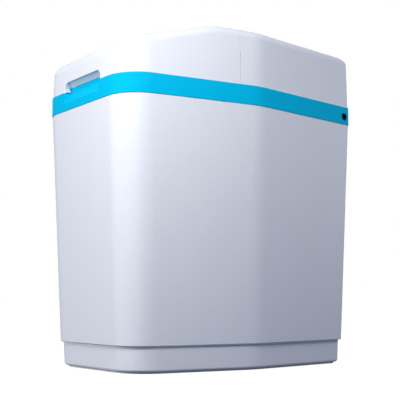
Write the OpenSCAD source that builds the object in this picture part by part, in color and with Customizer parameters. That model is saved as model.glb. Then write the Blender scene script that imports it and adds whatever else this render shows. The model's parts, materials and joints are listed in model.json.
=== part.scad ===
// Compact block-salt water softener: a moulded salt cabinet with two resin tanks and a
// water-driven valve under its rear cover.
// The floor is z = 0, the front faces -Y, and the origin lies under the middle of the cabinet.

/* [Cabinet plan] */
// Width of the front face between its sharp corners, at the band
front_w = 251; // [240:1:262]
// Width across the widest line of the sides, at the band
mid_w = 312; // [302:1:330]
// Width of the rear face between its sharp corners, at the band
rear_w = 249; // [240:1:262]
// Depth from the front face to the rear face, at the band
cabinet_d = 437; // [425:1:460]
// Radius of the two front corners
front_corner_r = 51; // [40:1:56]
// Radius of the soft edge down the middle of each side
side_edge_r = 60; // [30:1:80]
// Radius of the two rear corners
rear_corner_r = 8; // [6:0.5:14]

/* [Cabinet heights] */
// Height of the foot ring under the plinth
foot_h = 2; // [1:0.5:4]
// Height of the plinth
plinth_h = 37.5; // [30:0.5:45]
// Height of the tub, up to the band
body_h = 388; // [380:1:400]
// Height of the coloured band
band_h = 29.7; // [26:0.1:34]
// Height of the lid's front edge above the band
lid_front_h = 47.8; // [42:0.1:56]
// Height of the flat top above the band
cover_h = 86.3; // [82:0.1:96]

/* [Cabinet shell] */
// Wall of the tub
tub_wall = 3.2; // [2.6:0.1:4]
// Wall of the lid and of the rear cover
lid_wall = 3; // [2.4:0.1:3.6]
// Thickness of the tub's floor
floor_t = 5; // [4:0.5:7]
// Lean of the tub's sides, in degrees
side_draft = 1.7; // [0.8:0.1:2]
// Lean of the tub's front and rear, in degrees
end_draft = 2.7; // [1.5:0.1:3]
// Step from the tub in to the plinth
plinth_step = 4.8; // [4:0.1:6]
// Radius of the plinth's lower edge
base_edge_r = 5; // [3:0.5:7]
// Radius of the tub's lower edge, over the plinth
body_edge_r = 4; // [2:0.5:4]
// How far the band stands out from the tub
band_proud = 0.8; // [0.4:0.1:1.6]
// Wall of the band
band_wall = 3.4; // [2.8:0.1:4]
// Height of the band's lip inside the lid
lip_h = 8; // [6:0.5:10]
// Set-back of the lid and the rear cover from the band
lid_setback = 1.5; // [0.8:0.1:2]
// How far the lid's walls lean in at their top
lid_lean = 1; // [0:0.1:2]
// Radius of the upper edges of the lid and the rear cover
top_edge_r = 14; // [9:0.5:16]
// Gap between parts that seat on each other
seat_gap = 0.3; // [0.2:0.05:0.4]

/* [Lid] */
// How far the seam behind the lid lies in front of the widest line
seam_lead = 33; // [26:1:40]
// Length of the flat stretch between the lid's slope and the seam
flat_l = 38; // [30:1:50]
// Length over which the slope turns into the flat stretch
crease_l = 20; // [10:1:30]
// Width of the seam
seam_gap = 0.8; // [0.6:0.1:1.2]
// Width of the finger recess
grip_w = 110; // [90:1:120]
// Depth of the finger recess
grip_d = 12; // [9:0.5:13]
// Height of the finger recess in the lid
grip_lid_h = 15; // [12:0.5:18]
// How far the finger recess reaches down the band
grip_band_h = 17.5; // [14:0.5:20]
// Radius of the recess's upper corners
grip_corner_r = 8.5; // [5:0.5:10]
// Height of the ribs under the lid and the rear cover
rib_h = 8; // [5:0.5:9]
// Distance of each long rib from the middle
rib_x = 44; // [30:1:60]
// Distance of each hinge from the middle
hinge_x = 72; // [50:1:85]
// Radius of the hinge knuckles
hinge_r = 4; // [3.5:0.1:5]
// Length of the lid's knuckle
lid_knuckle_l = 24; // [16:1:30]
// Length of each of the rear cover's knuckles
cover_knuckle_l = 11; // [8:1:16]
// Radius of the hinge pins
hinge_pin_r = 1.5; // [1.2:0.1:2]
// Running clearance of pins and shafts in their bores
run_gap = 0.06; // [0.03:0.01:0.1]

/* [Rear cover] */
// Width of the opening for the pipes
pipe_notch_w = 124; // [116:1:132]
// Height of the opening for the pipes
pipe_notch_h = 42; // [38:1:50]
// Distance of each cover screw from the middle
cover_screw_x = 88; // [80:1:96]
// Radius of the cover screws
cover_screw_r = 1.6; // [1.4:0.1:2]

/* [Overflow grommet] */
// Distance of the grommet from the rear corner, along the side
grommet_back = 16.4; // [15:0.2:24]
// How far the grommet lies below the middle of the band
grommet_drop = 1.5; // [0:0.5:3]
// Radius of the grommet's flange
grommet_flange_r = 5.9; // [5.4:0.1:6.4]
// Radius of the grommet's neck
grommet_neck_r = 4.7; // [4.4:0.1:5]
// Radius of the hole through the grommet
grommet_bore_r = 3.4; // [3:0.1:3.8]
// Thickness of each flange of the grommet
grommet_flange_t = 1.2; // [1:0.1:1.6]

/* [Resin tanks] */
// Outer radius of a tank
tank_r = 50; // [46:0.5:51]
// Wall of a tank
tank_wall = 2.5; // [2:0.1:3]
// Gap between the two tanks
tank_gap = 8; // [6:0.5:10]
// Radius of a tank's neck
neck_r = 24; // [22:0.5:26]
// Height of a tank's neck
neck_h = 22; // [20:0.5:26]
// Radius of a tank's lower edge
tank_edge_r = 9; // [6:0.5:12]
// Share of the tank's straight height that the resin fills
resin_fill = 0.72; // [0.5:0.02:0.9]
// Radius of the riser tubes
riser_r = 9; // [8:0.5:10]
// Wall of the riser tubes
riser_wall = 1.8; // [1.4:0.1:2.4]
// Radius of the lower distributors
distributor_r = 20; // [17:0.5:23]
// Height of the lower distributors
distributor_h = 18; // [14:0.5:22]
// Height of the cradle's rings
cradle_h = 16; // [10:1:22]
// Wall of the cradle
cradle_wall = 3; // [2.5:0.1:4]

/* [Valve head] */
// Height of the manifold that joins the tanks
manifold_h = 28; // [24:0.5:30]
// Radius of the manifold over each tank
manifold_r = 38; // [36:0.5:42]
// Outer radius of the valve body
valve_r = 40; // [38:0.5:42]
// Wall of the valve body
valve_wall = 6; // [5:0.5:7]
// Height of the valve body
valve_h = 61; // [60:0.5:64]
// Radius of the valve's cap and its flange
cap_r = 55; // [54:0.5:57]
// Thickness of the valve's cap
cap_t = 4; // [3:0.5:5]
// Height of the pipe ports above the band
port_rise = 15.3; // [15:0.1:18]
// Height of the pipe ports above the foot of the valve body
port_z = 34; // [33:0.5:35]
// Distance of the inlet and the outlet from the middle
port_x = 36; // [34:0.5:38]
// Radius of the ports' outer ends
port_r = 13.2; // [12:0.1:13.4]
// Length of the ports' outer ends
port_l = 18; // [14:0.5:19]
// Radius of the ports' spigots in the valve body
spigot_r = 11.5; // [10.5:0.1:12]
// Radius of the ports' waterway
port_bore_r = 7; // [6:0.1:7.5]
// Radius of the drain spigot
drain_r = 6.4; // [6:0.1:7]
// Length of the drain spigot
drain_l = 31; // [26:0.5:34]
// Teeth of the meter disc
disc_teeth = 60; // [48:4:72]
// Teeth of the turbine's pinion
pinion_teeth = 15; // [12:1:18]
// Size of the gear teeth
gear_module = 1.4; // [1.2:0.05:1.45]
// Thickness of the gears
gear_t = 6; // [5:0.5:7]
// Play between the gear teeth
backlash = 0.3; // [0.2:0.05:0.4]
// Radius of the meter's shaft
meter_shaft_r = 4; // [3:0.1:5]
// Radius of the turbine's shaft
turbine_shaft_r = 2; // [1.6:0.1:2.4]
// Radius of the turbine's blades
turbine_r = 10; // [9:0.1:10.6]
// Radius of the knob that starts a rinse by hand
knob_r = 17; // [14:0.5:20]
// Height of that knob
knob_h = 13; // [10:0.5:15]

/* [Brine] */
// Sideways place of the brine well
well_x = -98; // [-100:1:-90]
// Front to rear place of the brine well
well_y = 10; // [4:1:20]
// Outer radius of the brine well
well_r = 27; // [25:0.5:28]
// Wall of the brine well
well_wall = 2.5; // [2:0.1:3]
// Height of the brine well
well_h = 320; // [300:1:330]
// Radius of the float
float_r = 13; // [11:0.5:13.5]
// Height of the float
float_h = 52; // [40:1:60]
// Radius of the float rod
rod_r = 2.5; // [2:0.1:3]
// Travel of the float rod
float_travel = 15; // [10:1:18]
// Outer radius of the brine tube
brine_tube_r = 4.75; // [4:0.05:5]
// Radius of the brine tube's bend
brine_bend_r = 26; // [22:1:30]
// Thickness of the salt platform
platform_t = 4; // [3:0.5:5]
// Length of a slot in the salt platform
slot_l = 28; // [20:1:32]
// Width of a slot in the salt platform
slot_w = 7; // [5:0.5:9]

/* [Hidden] */
$fn = 48;
eps = 0.01;

// Facets along the round corners of the cabinet
front_steps = 10;
edge_steps = 4;
rear_steps = 5;
round_steps = 5;
least_r = 0.6;

half_d = cabinet_d / 2;
front_lean = atan((mid_w - front_w) / cabinet_d);
rear_lean = atan((mid_w - rear_w) / cabinet_d);

// Levels from the floor up
inner_floor = floor_t;
floor_fillet = 4;
ledge_z = plinth_h + tub_wall;
band_top = body_h + band_h;
web_t = 4;
rim_top = band_top - web_t;
lip_top = band_top + lip_h;
lid_bottom = band_top + seat_gap;
front_top = band_top + lid_front_h;
top = band_top + cover_h;

// Steps across the rim, measured in from the band's face
rim_out = band_wall + seat_gap;
rim_in = rim_out + tub_wall;
lip_out = lid_setback + lid_wall + 2 * seat_gap;
lip_in = lip_out + tub_wall;

// Lid
seam_y = -seam_lead;
crease_y = seam_y - flat_l;
slope = (top - front_top) / (crease_y + half_d);
lid_end = seam_y - seam_gap / 2;
cover_start = seam_y + seam_gap / 2;
crease_stops = [for (i = [-2 : 2]) crease_y + i * crease_l / 4];
rib_t = 2;
rib_end = 12;

// Finger recess: a round scoop whose axis lies in front of the band
grip_wall = 3;
scoop_h = grip_band_h + lip_h;
scoop_out = (scoop_h * scoop_h - grip_d * grip_d) / (2 * grip_d);
scoop_r = scoop_out + grip_d;
grip_ceiling = band_top + grip_lid_h + 7;

// Hinge
hinge_cut_r = hinge_r + 0.6;
knuckle_gap = 0.3;
hinge_l = lid_knuckle_l + 2 * (cover_knuckle_l + knuckle_gap);
press_gap = 0.02;

// Grommet on the right rear side
rear_corner = [rear_w / 2, half_d];
grommet_xy = rear_corner + grommet_back * [sin(rear_lean), -cos(rear_lean)];
grommet_z = body_h + band_h / 2 - grommet_drop;

// Rear cover
screw_level = band_top + lip_h / 2;
notch_corner_r = 8;

// Pipe level, which sets how high the tanks may reach
port_level = band_top + port_rise;
manifold_top = port_level - port_z;
neck_top = manifold_top - manifold_h;

// Tanks
cradle_plate = 3;
cradle_r = tank_r + seat_gap + cradle_wall;
tank_base = inner_floor + cradle_plate;
tank_x = tank_r + tank_gap / 2;
tank_y = half_d - plinth_end(inner_floor) - tub_wall - floor_fillet - cradle_r - 2;
tank_h = neck_top - tank_base;
shoulder_r = tank_r - neck_r;
straight_h = tank_h - neck_h - shoulder_r;
riser_foot = tank_base + tank_wall + distributor_h;
riser_socket = 14;
ring_r = 1.4;
ring_place = riser_r + 6;
tank_places = [[-tank_x, tank_y], [tank_x, tank_y]];

// Valve head
valve_top = manifold_top + valve_h;
cap_top = valve_top + cap_t;
flange_t = 6;
valve_floor = manifold_top + flange_t;
valve_foot_r = valve_r + 11;
valve_hub_r = valve_foot_r + 1;
socket_h = 4;
port_end = half_d - 4;
port_neck_l = 18;
port_seat = port_end - port_l - port_neck_l;
boss_r = 15;
port_flange_r = 17;
port_flange_t = 4;
socket_d = 22;
port_places = [-port_x, port_x];
disc_pitch_r = gear_module * disc_teeth / 2;
pinion_pitch_r = gear_module * pinion_teeth / 2;
gear_distance = disc_pitch_r + pinion_pitch_r;
gear_z = cap_top + 1;
tip_gap = 0.85;
root_gap = 1.15;
pressure_angle = 20;
chamber_wall = 3.5;
chamber_r = turbine_r + 1.5 + chamber_wall;
chamber_z = valve_floor + 18;
ear_r = chamber_r + 2;
spigot_gap = 0.1;
cover_gap = 2;
cover_wall = 1.6;
meter_cover_h = gear_t + 5;
knob_z = cap_top + meter_cover_h + 2;
cap_screw_r = 1.8;
cap_screw_ring = cap_r - 4.5;
cap_screw_count = 6;
cap_screw_places = [for (i = [0 : cap_screw_count - 1])
    let (a = 360 * i / cap_screw_count) [cap_screw_ring * cos(a), tank_y + cap_screw_ring * sin(a)]];
screw_ring = valve_r + 6;
screw_places = [for (a = [45 : 90 : 315]) [screw_ring * cos(a), tank_y + screw_ring * sin(a)]];
screw_grip = 10;
drain_hex_t = 3;
drain_tail = 11;
drain_seat = port_end - drain_l - drain_hex_t;

// Brine
well_base = inner_floor;
well_top = well_base + well_h;
tube_x = well_x + 14;
rod_x = well_x - 8;
valve_seat_z = well_base + 40;
tube_foot = valve_seat_z - 10;
rod_foot = well_base + 22;
rod_top = well_top + 24;
float_drop = 130;
float_z = well_top - float_drop;
tube_level = manifold_top - manifold_h / 2;
tube_wall = 1.4;
brine_nut_r = brine_tube_r + 4;
tube_end = tank_y - sqrt(manifold_r * manifold_r - pow(tank_x + tube_x + brine_nut_r, 2)) - 2;
platform_end = tank_y - tank_r - 8;

white = [0.93, 0.94, 0.95];
cyan = [0.03, 0.72, 0.93];
steel = [0.75, 0.76, 0.78];
grey = [0.55, 0.57, 0.6];
black = [0.06, 0.06, 0.07];

// How far the tub's wall lies in from the band's face at a height
function body_side(z) = band_proud + (body_h - z) * tan(side_draft);
function body_end(z) = band_proud + (body_h - z) * tan(end_draft);
function plinth_side(z) = body_side(z) + plinth_step;
function plinth_end(z) = body_end(z) + plinth_step;

// Height of the lid's crown: a slope that turns softly into a flat top
function top_z(y) =
    let (u = y - crease_y, half = crease_l / 2)
    u >= half ? top : u <= -half ? top + slope * u : top - slope * pow(half - u, 2) / (4 * half);

function unit(v) = v / norm(v);

// Points of a round corner at p, between the sides to a and to b
function corner_arc(a, p, b, r, steps) =
    let (
        u = unit(a - p),
        v = unit(b - p),
        half = acos(u * v) / 2,
        centre = p + unit(u + v) * r / sin(half),
        from = p + u * r / tan(half) - centre,
        start = atan2(from.y, from.x),
        turn = 180 - 2 * half
    )
    [for (i = [0 : steps]) centre + r * [cos(start + turn * i / steps), sin(start + turn * i / steps)]];

// Right side line of the plan at a depth, set in from the band's face
function side_x(y, inset) = mid_w / 2 + (y < 0
    ? y * tan(front_lean) - inset / cos(front_lean)
    : -y * tan(rear_lean) - inset / cos(rear_lean));

// Right half of the plan from front to rear, set in by side and end, with corners made smaller by cut
function half_plan(side, end, cut) =
    let (
        front = [side_x(-half_d + end, side), -half_d + end],
        rear = [side_x(half_d - end, side), half_d - end],
        edge_y = side * (1 / cos(front_lean) - 1 / cos(rear_lean)) / (tan(front_lean) + tan(rear_lean)),
        edge = [mid_w / 2 + edge_y * tan(front_lean) - side / cos(front_lean), edge_y]
    )
    concat(
        corner_arc([0, front.y], front, edge, max(least_r, front_corner_r - cut), front_steps),
        corner_arc(front, edge, rear, max(least_r, side_edge_r - cut), edge_steps),
        corner_arc(edge, rear, [0, rear.y], max(least_r, rear_corner_r - cut), rear_steps)
    );

// The part of that half plan in front of a depth, with stops where the lid's crown bends
function front_plan(side, end, cut, y_end) = concat(
    [for (p = half_plan(side, end, cut)) if (p.y < crease_stops[0]) p],
    [for (y = crease_stops) [side_x(y, side), y]],
    [[side_x(y_end, side), y_end]]
);

// The part of that half plan between two depths
function rear_plan(side, end, cut, y_start) = concat(
    [[side_x(y_start, side), y_start]],
    [for (p = half_plan(side, end, cut)) if (p.y > y_start) p]
);
function bay_plan(side, end, cut, y_end) = concat(
    [for (p = half_plan(side, end, cut)) if (p.y < y_end) p],
    [[side_x(y_end, side), y_end]]
);

// A whole outline from its right half
function both_sides(half) = concat(half, [for (i = [len(half) - 1 : -1 : 0]) [-half[i].x, half[i].y]]);
function level_ring(half, z) = [for (p = both_sides(half)) [p.x, p.y, z]];
function crown_ring(half, drop) = [for (p = both_sides(half)) [p.x, p.y, top_z(p.y) - drop]];

// Side faces between rings of n points
function wall_faces(n, rings) = [
    for (k = [0 : rings - 1], i = [0 : n - 1])
        let (a = k * n + i, b = k * n + (i + 1) % n)
        each [[a, a + n, b + n], [a, b + n, b]]
];

// A solid through rings, closed by its first and its last one
module loft(rings) {
    n = len(rings[0]);
    last = (len(rings) - 1) * n;
    first_cap = [for (i = [0 : n / 2 - 2]) each [[i, i + 1, n - 2 - i], [i, n - 2 - i, n - 1 - i]]];
    last_cap = [for (f = first_cap) [last + f[0], last + f[2], last + f[1]]];
    polyhedron([for (r = rings) each r], concat(wall_faces(n, len(rings) - 1), first_cap, last_cap));
}

// A closed band through rings, whose last ring joins the first
module loop_loft(rings) {
    n = len(rings[0]);
    count = n * len(rings);
    faces = [for (f = wall_faces(n, len(rings))) [for (i = f) i % count]];
    polyhedron([for (r = rings) each r], faces);
}

module rounded_plate(w, h, r, t) {
    linear_extrude(t) union() {
        square([w, h - 2 * r], center = true);
        square([w - 2 * r, h], center = true);
        for (x = [-1, 1], y = [-1, 1]) translate([x * (w / 2 - r), y * (h / 2 - r)]) circle(r);
    }
}

// Turns a shape drawn along Z to point along Y from a place
module along_y(x, y, z) {
    translate([x, y, z]) rotate([-90, 0, 0]) children();
}
module along_x(y, z, x = 0) {
    translate([x, y, z]) rotate([0, 90, 0]) children();
}

module tub() {
    base = [for (i = [0 : round_steps])
        let (
            t = 90 * i / round_steps,
            z = foot_h + base_edge_r * (1 - cos(t)),
            e = base_edge_r * (1 - sin(t))
        )
        level_ring(half_plan(plinth_side(z) + e, plinth_end(z) + e, 0), z)];
    foot_in = base_edge_r + 1;
    foot_plan = half_plan(plinth_side(0) + foot_in, plinth_end(0) + foot_in, 0);
    edge = [for (i = [0 : 3])
        let (t = 30 * i, z = plinth_h + body_edge_r * (1 - cos(t)), e = body_edge_r * (1 - sin(t)))
        level_ring(half_plan(body_side(z) + e, body_end(z) + e, 0), z)];
    fillet = [for (i = [0 : 3])
        let (
            t = 30 * i,
            z = inner_floor + floor_fillet * (1 - sin(t)),
            e = tub_wall + floor_fillet * (1 - cos(t))
        )
        level_ring(half_plan(plinth_side(z) + e, plinth_end(z) + e, e), z)];
    rim_foot = body_h - 4;
    rings = concat(
        [for (z = [0, foot_h]) level_ring(foot_plan, z)],
        base,
        [level_ring(half_plan(plinth_side(plinth_h), plinth_end(plinth_h), 0), plinth_h)],
        edge,
        [level_ring(half_plan(body_side(body_h), body_end(body_h), 0), body_h)],
        [for (z = [body_h, rim_top]) level_ring(half_plan(rim_out, rim_out, rim_out), z)],
        [for (z = [rim_top, body_h]) level_ring(half_plan(rim_in, rim_in, rim_in), z)],
        [for (z = [rim_foot, ledge_z])
            level_ring(half_plan(body_side(z) + tub_wall, body_end(z) + tub_wall, tub_wall), z)],
        [for (z = [ledge_z])
            level_ring(half_plan(plinth_side(z) + tub_wall, plinth_end(z) + tub_wall, tub_wall), z)],
        fillet
    );
    notch_w = grip_w + 2 * grip_wall + 4 * seat_gap;
    notch_d = rim_in + 8;
    color(white) difference() {
        loft(rings);
        translate([-notch_w / 2, -half_d, body_h]) cube([notch_w, notch_d, band_h]);
        grommet_axis() cylinder(r = grommet_flange_r + 2 * seat_gap, h = 2 * rim_in, center = true);
    }
}

// Puts a shape drawn along Z on the grommet's axis, with z = 0 on the band's face
module grommet_axis() {
    translate([grommet_xy.x, grommet_xy.y, grommet_z]) rotate([0, 90, rear_lean]) children();
}

module collar() {
    bevel = 0.8;
    profile = [
        [bevel, body_h + seat_gap], [0, body_h + seat_gap + bevel],
        [0, band_top - bevel], [bevel, band_top],
        [lip_out, band_top], [lip_out, lip_top], [lip_in, lip_top], [lip_in, rim_top],
        [band_wall, rim_top], [band_wall, body_h + seat_gap]
    ];
    cup_w = grip_w + 2 * grip_wall;
    cup_d = grip_d + grip_wall;
    color(cyan) difference() {
        union() {
            loop_loft([for (p = profile) level_ring(half_plan(p[0], p[0], p[0]), p[1])]);
            intersection() {
                union() {
                    translate([-cup_w / 2, -half_d + eps, body_h + seat_gap])
                        cube([cup_w, cup_d - eps, band_h - seat_gap]);
                    translate([-cup_w / 2, -half_d + lip_out, rim_top])
                        cube([cup_w, cup_d - lip_out, lip_top - rim_top]);
                }
                scoop(scoop_r + grip_wall, cup_w);
            }
        }
        scoop(scoop_r, grip_w);
        grommet_axis() cylinder(r = grommet_neck_r + press_gap, h = 2 * rim_in, center = true);
        for (x = [-1, 1]) along_y(x * cover_screw_x, half_d - rim_in - 4, screw_level)
            cylinder(r = cover_screw_r + press_gap, h = rim_in);
        translate([-pipe_notch_w / 2, half_d - lip_in - 1, band_top])
            cube([pipe_notch_w, lip_in - bevel, lip_h + 1]);
    }
}

// The round cutter of the finger recess
module scoop(r, w) {
    along_x(-half_d - scoop_out, lip_top, -w / 2) cylinder(r = r, h = w, $fn = 96);
}

module front_lid() {
    outer_edge = [for (i = [0 : round_steps])
        let (t = 90 * i / round_steps, e = lid_setback + lid_lean + top_edge_r * (1 - cos(t)))
        crown_ring(front_plan(e, e, e, lid_end), top_edge_r * (1 - sin(t)))];
    inner_r = top_edge_r - lid_wall;
    inner_edge = [for (i = [0 : round_steps])
        let (t = 90 * i / round_steps, e = lid_setback + lid_lean + lid_wall + inner_r * (1 - cos(t)))
        crown_ring(front_plan(e, e, e, lid_end - lid_wall), lid_wall + inner_r * (1 - sin(t)))];
    out = lid_setback;
    in = lid_setback + lid_wall;
    outer_foot = level_ring(front_plan(out, out, out, lid_end), lid_bottom);
    inner_foot = level_ring(front_plan(in, in, in, lid_end - lid_wall), lid_bottom - 1);
    hollow = concat([inner_foot], inner_edge);
    cup_w = grip_w + 2 * grip_wall;
    cup_z = lip_top + 2 * seat_gap;
    color(white) difference() {
        union() {
            difference() {
                loft(concat([outer_foot], outer_edge));
                difference() {
                    loft(hollow);
                    ribs(-half_d + 2 * rib_end, lid_end - rib_end, crease_y) loft(hollow);
                }
                hinge_places() cylinder(r = hinge_cut_r, h = hinge_l + 2 * knuckle_gap, center = true);
            }
            translate([-cup_w / 2, -half_d + in - 1, cup_z])
                cube([cup_w, grip_d + grip_wall - in + 1, grip_ceiling + grip_wall - cup_z]);
            hinge_places() knuckle(lid_knuckle_l, 1);
        }
        grip_opening();
        translate([-grip_w / 2, -half_d + in, lid_bottom - 1])
            cube([grip_w, grip_d - in, grip_ceiling - lid_bottom + 1]);
        lip_room(lid_end - lid_wall - 1);
        hinge_places() cylinder(r = hinge_pin_r + run_gap, h = hinge_l + 1, center = true);
    }
}

// Two long ribs and a cross rib that hang from the top of a hollow, which is the child
module ribs(y_from, y_to, y_across) {
    long = [rib_t, y_to - y_from, cover_h];
    across = side_x(y_across, lid_setback + lid_lean + lid_wall + top_edge_r);
    difference() {
        union() {
            for (x = [-rib_x, rib_x]) translate([x - rib_t / 2, y_from, lid_bottom]) cube(long);
            translate([-across, y_across - rib_t / 2, lid_bottom]) cube([2 * across, rib_t, cover_h]);
        }
        translate([0, 0, -rib_h]) children();
    }
}

// Room for the band's lip under a wall at the seam
module lip_room(y) {
    w = side_x(y, lid_setback + lid_wall);
    translate([-w, y, lid_bottom - 1]) cube([2 * w, lid_wall + 2, lip_top + 2 * seat_gap - lid_bottom + 1]);
}

// The opening of the finger recess through the lid's front wall. Only its upper corners are round,
// because its lower ones lie below the lid.
module grip_opening() {
    h = grip_lid_h + 2 * grip_corner_r + 2;
    along_y(0, -half_d - 1, band_top + grip_lid_h - h / 2) rounded_plate(grip_w, h, grip_corner_r, grip_d);
}

// Puts a shape drawn along Z on each hinge's axis, at the top of the seam
module hinge_places() {
    for (x = [-hinge_x, hinge_x]) along_x(seam_y, top, x) children();
}

// A knuckle with the web that ties it to the panel in front of it (side 1) or behind it (side -1)
module knuckle(length, side) {
    web_l = hinge_cut_r + 2;
    cylinder(r = hinge_r, h = length, center = true);
    translate([0, side > 0 ? -web_l : 0, -length / 2]) cube([lid_wall, web_l, length]);
}

module rear_cover() {
    outer_edge = [for (i = [0 : round_steps])
        let (t = 90 * i / round_steps, e = lid_setback + lid_lean + top_edge_r * (1 - cos(t)))
        level_ring(rear_plan(e, e, e, cover_start), top - top_edge_r * (1 - sin(t)))];
    inner_r = top_edge_r - lid_wall;
    inner_edge = [for (i = [0 : round_steps])
        let (t = 90 * i / round_steps, e = lid_setback + lid_lean + lid_wall + inner_r * (1 - cos(t)))
        level_ring(rear_plan(e, e, e, cover_start + lid_wall), top - lid_wall - inner_r * (1 - sin(t)))];
    out = lid_setback;
    in = lid_setback + lid_wall;
    outer_foot = level_ring(rear_plan(out, out, out, cover_start), lid_bottom);
    inner_foot = level_ring(rear_plan(in, in, in, cover_start + lid_wall), lid_bottom - 1);
    hollow = concat([inner_foot], inner_edge);
    knuckle_x = (lid_knuckle_l + cover_knuckle_l) / 2 + knuckle_gap;
    color(white) difference() {
        union() {
            difference() {
                loft(concat([outer_foot], outer_edge));
                difference() {
                    loft(hollow);
                    ribs(cover_start + rib_end, half_d - 2 * rib_end, (cover_start + tank_y) / 2) loft(hollow);
                }
                hinge_places() cylinder(r = hinge_cut_r, h = hinge_l + 2 * knuckle_gap, center = true);
            }
            hinge_places() for (side = [-1, 1])
                translate([0, 0, side * knuckle_x]) knuckle(cover_knuckle_l, -1);
        }
        hinge_places() cylinder(r = hinge_pin_r + press_gap, h = hinge_l + 1, center = true);
        lip_room(cover_start - 1);
        along_y(0, half_d - 4 * in, band_top + pipe_notch_h / 2 - notch_corner_r)
            rounded_plate(pipe_notch_w, pipe_notch_h + 2 * notch_corner_r, notch_corner_r, 5 * in);
        for (x = [-1, 1]) along_y(x * cover_screw_x, half_d - 2 * in, screw_level)
            cylinder(r = cover_screw_r + seat_gap, h = 3 * in);
    }
}

module hinge_pins() {
    color(steel) hinge_places() cylinder(r = hinge_pin_r, h = hinge_l - 1, center = true);
}

module cover_screws() {
    shank_l = lip_in - lid_setback;
    color(steel) for (x = [-1, 1]) along_y(x * cover_screw_x, half_d - lid_setback - shank_l, screw_level) {
        cylinder(r = cover_screw_r, h = shank_l + eps);
        translate([0, 0, shank_l]) difference() {
            cylinder(r = 2 * cover_screw_r, h = 1.2);
            translate([0, 0, 0.8]) cube([0.8, 3 * cover_screw_r, 1], center = true);
        }
    }
}

module overflow_grommet() {
    color(black) grommet_axis() difference() {
        rotate_extrude() polygon([
            [0, -band_wall - grommet_flange_t], [grommet_flange_r, -band_wall - grommet_flange_t],
            [grommet_flange_r, -band_wall], [grommet_neck_r, -band_wall], [grommet_neck_r, 0],
            [grommet_flange_r, 0], [grommet_flange_r, grommet_flange_t / 2],
            [grommet_flange_r - grommet_flange_t / 2, grommet_flange_t], [0, grommet_flange_t]
        ]);
        cylinder(r = grommet_bore_r, h = 4 * rim_in, center = true);
    }
}

module tank_cradle() {
    color(grey) translate([0, 0, inner_floor]) difference() {
        union() {
            for (p = tank_places) translate(p) cylinder(r = cradle_r, h = cradle_plate + cradle_h);
            translate([-tank_x, tank_y - tank_r / 2, 0])
                cube([2 * tank_x, tank_r, cradle_plate + cradle_h / 2]);
        }
        for (p = tank_places) translate([p.x, p.y, cradle_plate]) {
            cylinder(r = tank_r + seat_gap, h = cradle_h + 1);
            translate([0, 0, -cradle_plate - 1]) cylinder(r = tank_r / 2, h = cradle_plate + 2);
        }
    }
}

// Half section of a tank drawn in by t, from its foot up: round edge, wall, domed shoulder and neck
function tank_half(t) =
    let (r = tank_r - t, foot = tank_edge_r - t, dome = shoulder_r - t)
    concat(
        [[0, t]],
        [for (i = [0 : 4]) [r - foot + foot * sin(22.5 * i), t + foot - foot * cos(22.5 * i)]],
        [for (i = [0 : 8]) [r - dome + dome * cos(11.25 * i), straight_h + dome * sin(11.25 * i)]],
        [[neck_r - t, tank_h + t], [0, tank_h + t]]
    );

module resin_tank(place) {
    color("steelblue") translate([place.x, place.y, tank_base]) difference() {
        rotate_extrude() polygon(tank_half(0));
        rotate_extrude() polygon(tank_half(tank_wall));
    }
}

module resin_tank_left() resin_tank(tank_places[0]);
module resin_tank_right() resin_tank(tank_places[1]);

module resin_bed(place) {
    gap = seat_gap;
    in_r = tank_r - tank_wall - gap;
    foot = max(1, tank_edge_r - tank_wall);
    bed_z = tank_base + tank_wall + gap;
    bed_h = resin_fill * straight_h;
    color("goldenrod") translate([place.x, place.y, bed_z]) difference() {
        union() {
            translate([0, 0, foot]) cylinder(r = in_r, h = bed_h - foot);
            rotate_extrude() intersection() {
                square([in_r, foot]);
                union() {
                    square([in_r - foot, foot]);
                    translate([in_r - foot, foot]) circle(foot);
                }
            }
        }
        translate([0, 0, -1]) cylinder(r = distributor_r + gap, h = distributor_h + 1 + gap);
        cylinder(r = riser_r + gap, h = bed_h + 1);
    }
}
module resin_bed_left() resin_bed(tank_places[0]);
module resin_bed_right() resin_bed(tank_places[1]);

module riser_tube(place) {
    length = neck_top + riser_socket - riser_foot;
    color(white) translate([place.x, place.y, riser_foot]) difference() {
        cylinder(r = riser_r, h = length);
        translate([0, 0, -1]) cylinder(r = riser_r - riser_wall, h = length + 2);
    }
}
module riser_tube_left() riser_tube(tank_places[0]);
module riser_tube_right() riser_tube(tank_places[1]);

module distributor(place) {
    slots = 12;
    slot = 0.8;
    wall = 2.5;
    color(grey) translate([place.x, place.y, tank_base + tank_wall]) difference() {
        cylinder(r = distributor_r, h = distributor_h);
        translate([0, 0, -1]) cylinder(r = distributor_r - wall, h = distributor_h - wall + 1);
        translate([0, 0, -1]) cylinder(r = riser_r - riser_wall, h = distributor_h + 2);
        for (i = [0 : slots - 1]) rotate([0, 0, 360 * i / slots])
            translate([distributor_r - wall - 1, -slot / 2, wall])
                cube([wall + 2, slot, distributor_h - 3 * wall]);
    }
}
module distributor_left() distributor(tank_places[0]);
module distributor_right() distributor(tank_places[1]);

module tank_nut(place) {
    ribs = 16;
    rib_r = 2;
    nut_r = manifold_r - 5;
    nut_h = neck_h - 4;
    color(black) translate([place.x, place.y, neck_top - nut_h]) difference() {
        union() {
            cylinder(r = nut_r, h = nut_h);
            for (i = [0 : ribs - 1]) rotate([0, 0, 360 * i / ribs])
                translate([nut_r, 0, 0]) cylinder(r = rib_r, h = nut_h - rib_r);
        }
        translate([0, 0, -1]) cylinder(r = neck_r + seat_gap, h = nut_h + 2);
    }
}
module tank_nut_left() tank_nut(tank_places[0]);
module tank_nut_right() tank_nut(tank_places[1]);

module tank_o_rings() {
    color(black) for (p = tank_places) translate([p.x, p.y, neck_top + ring_r])
        rotate_extrude() translate([ring_place, 0]) circle(ring_r);
}

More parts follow.
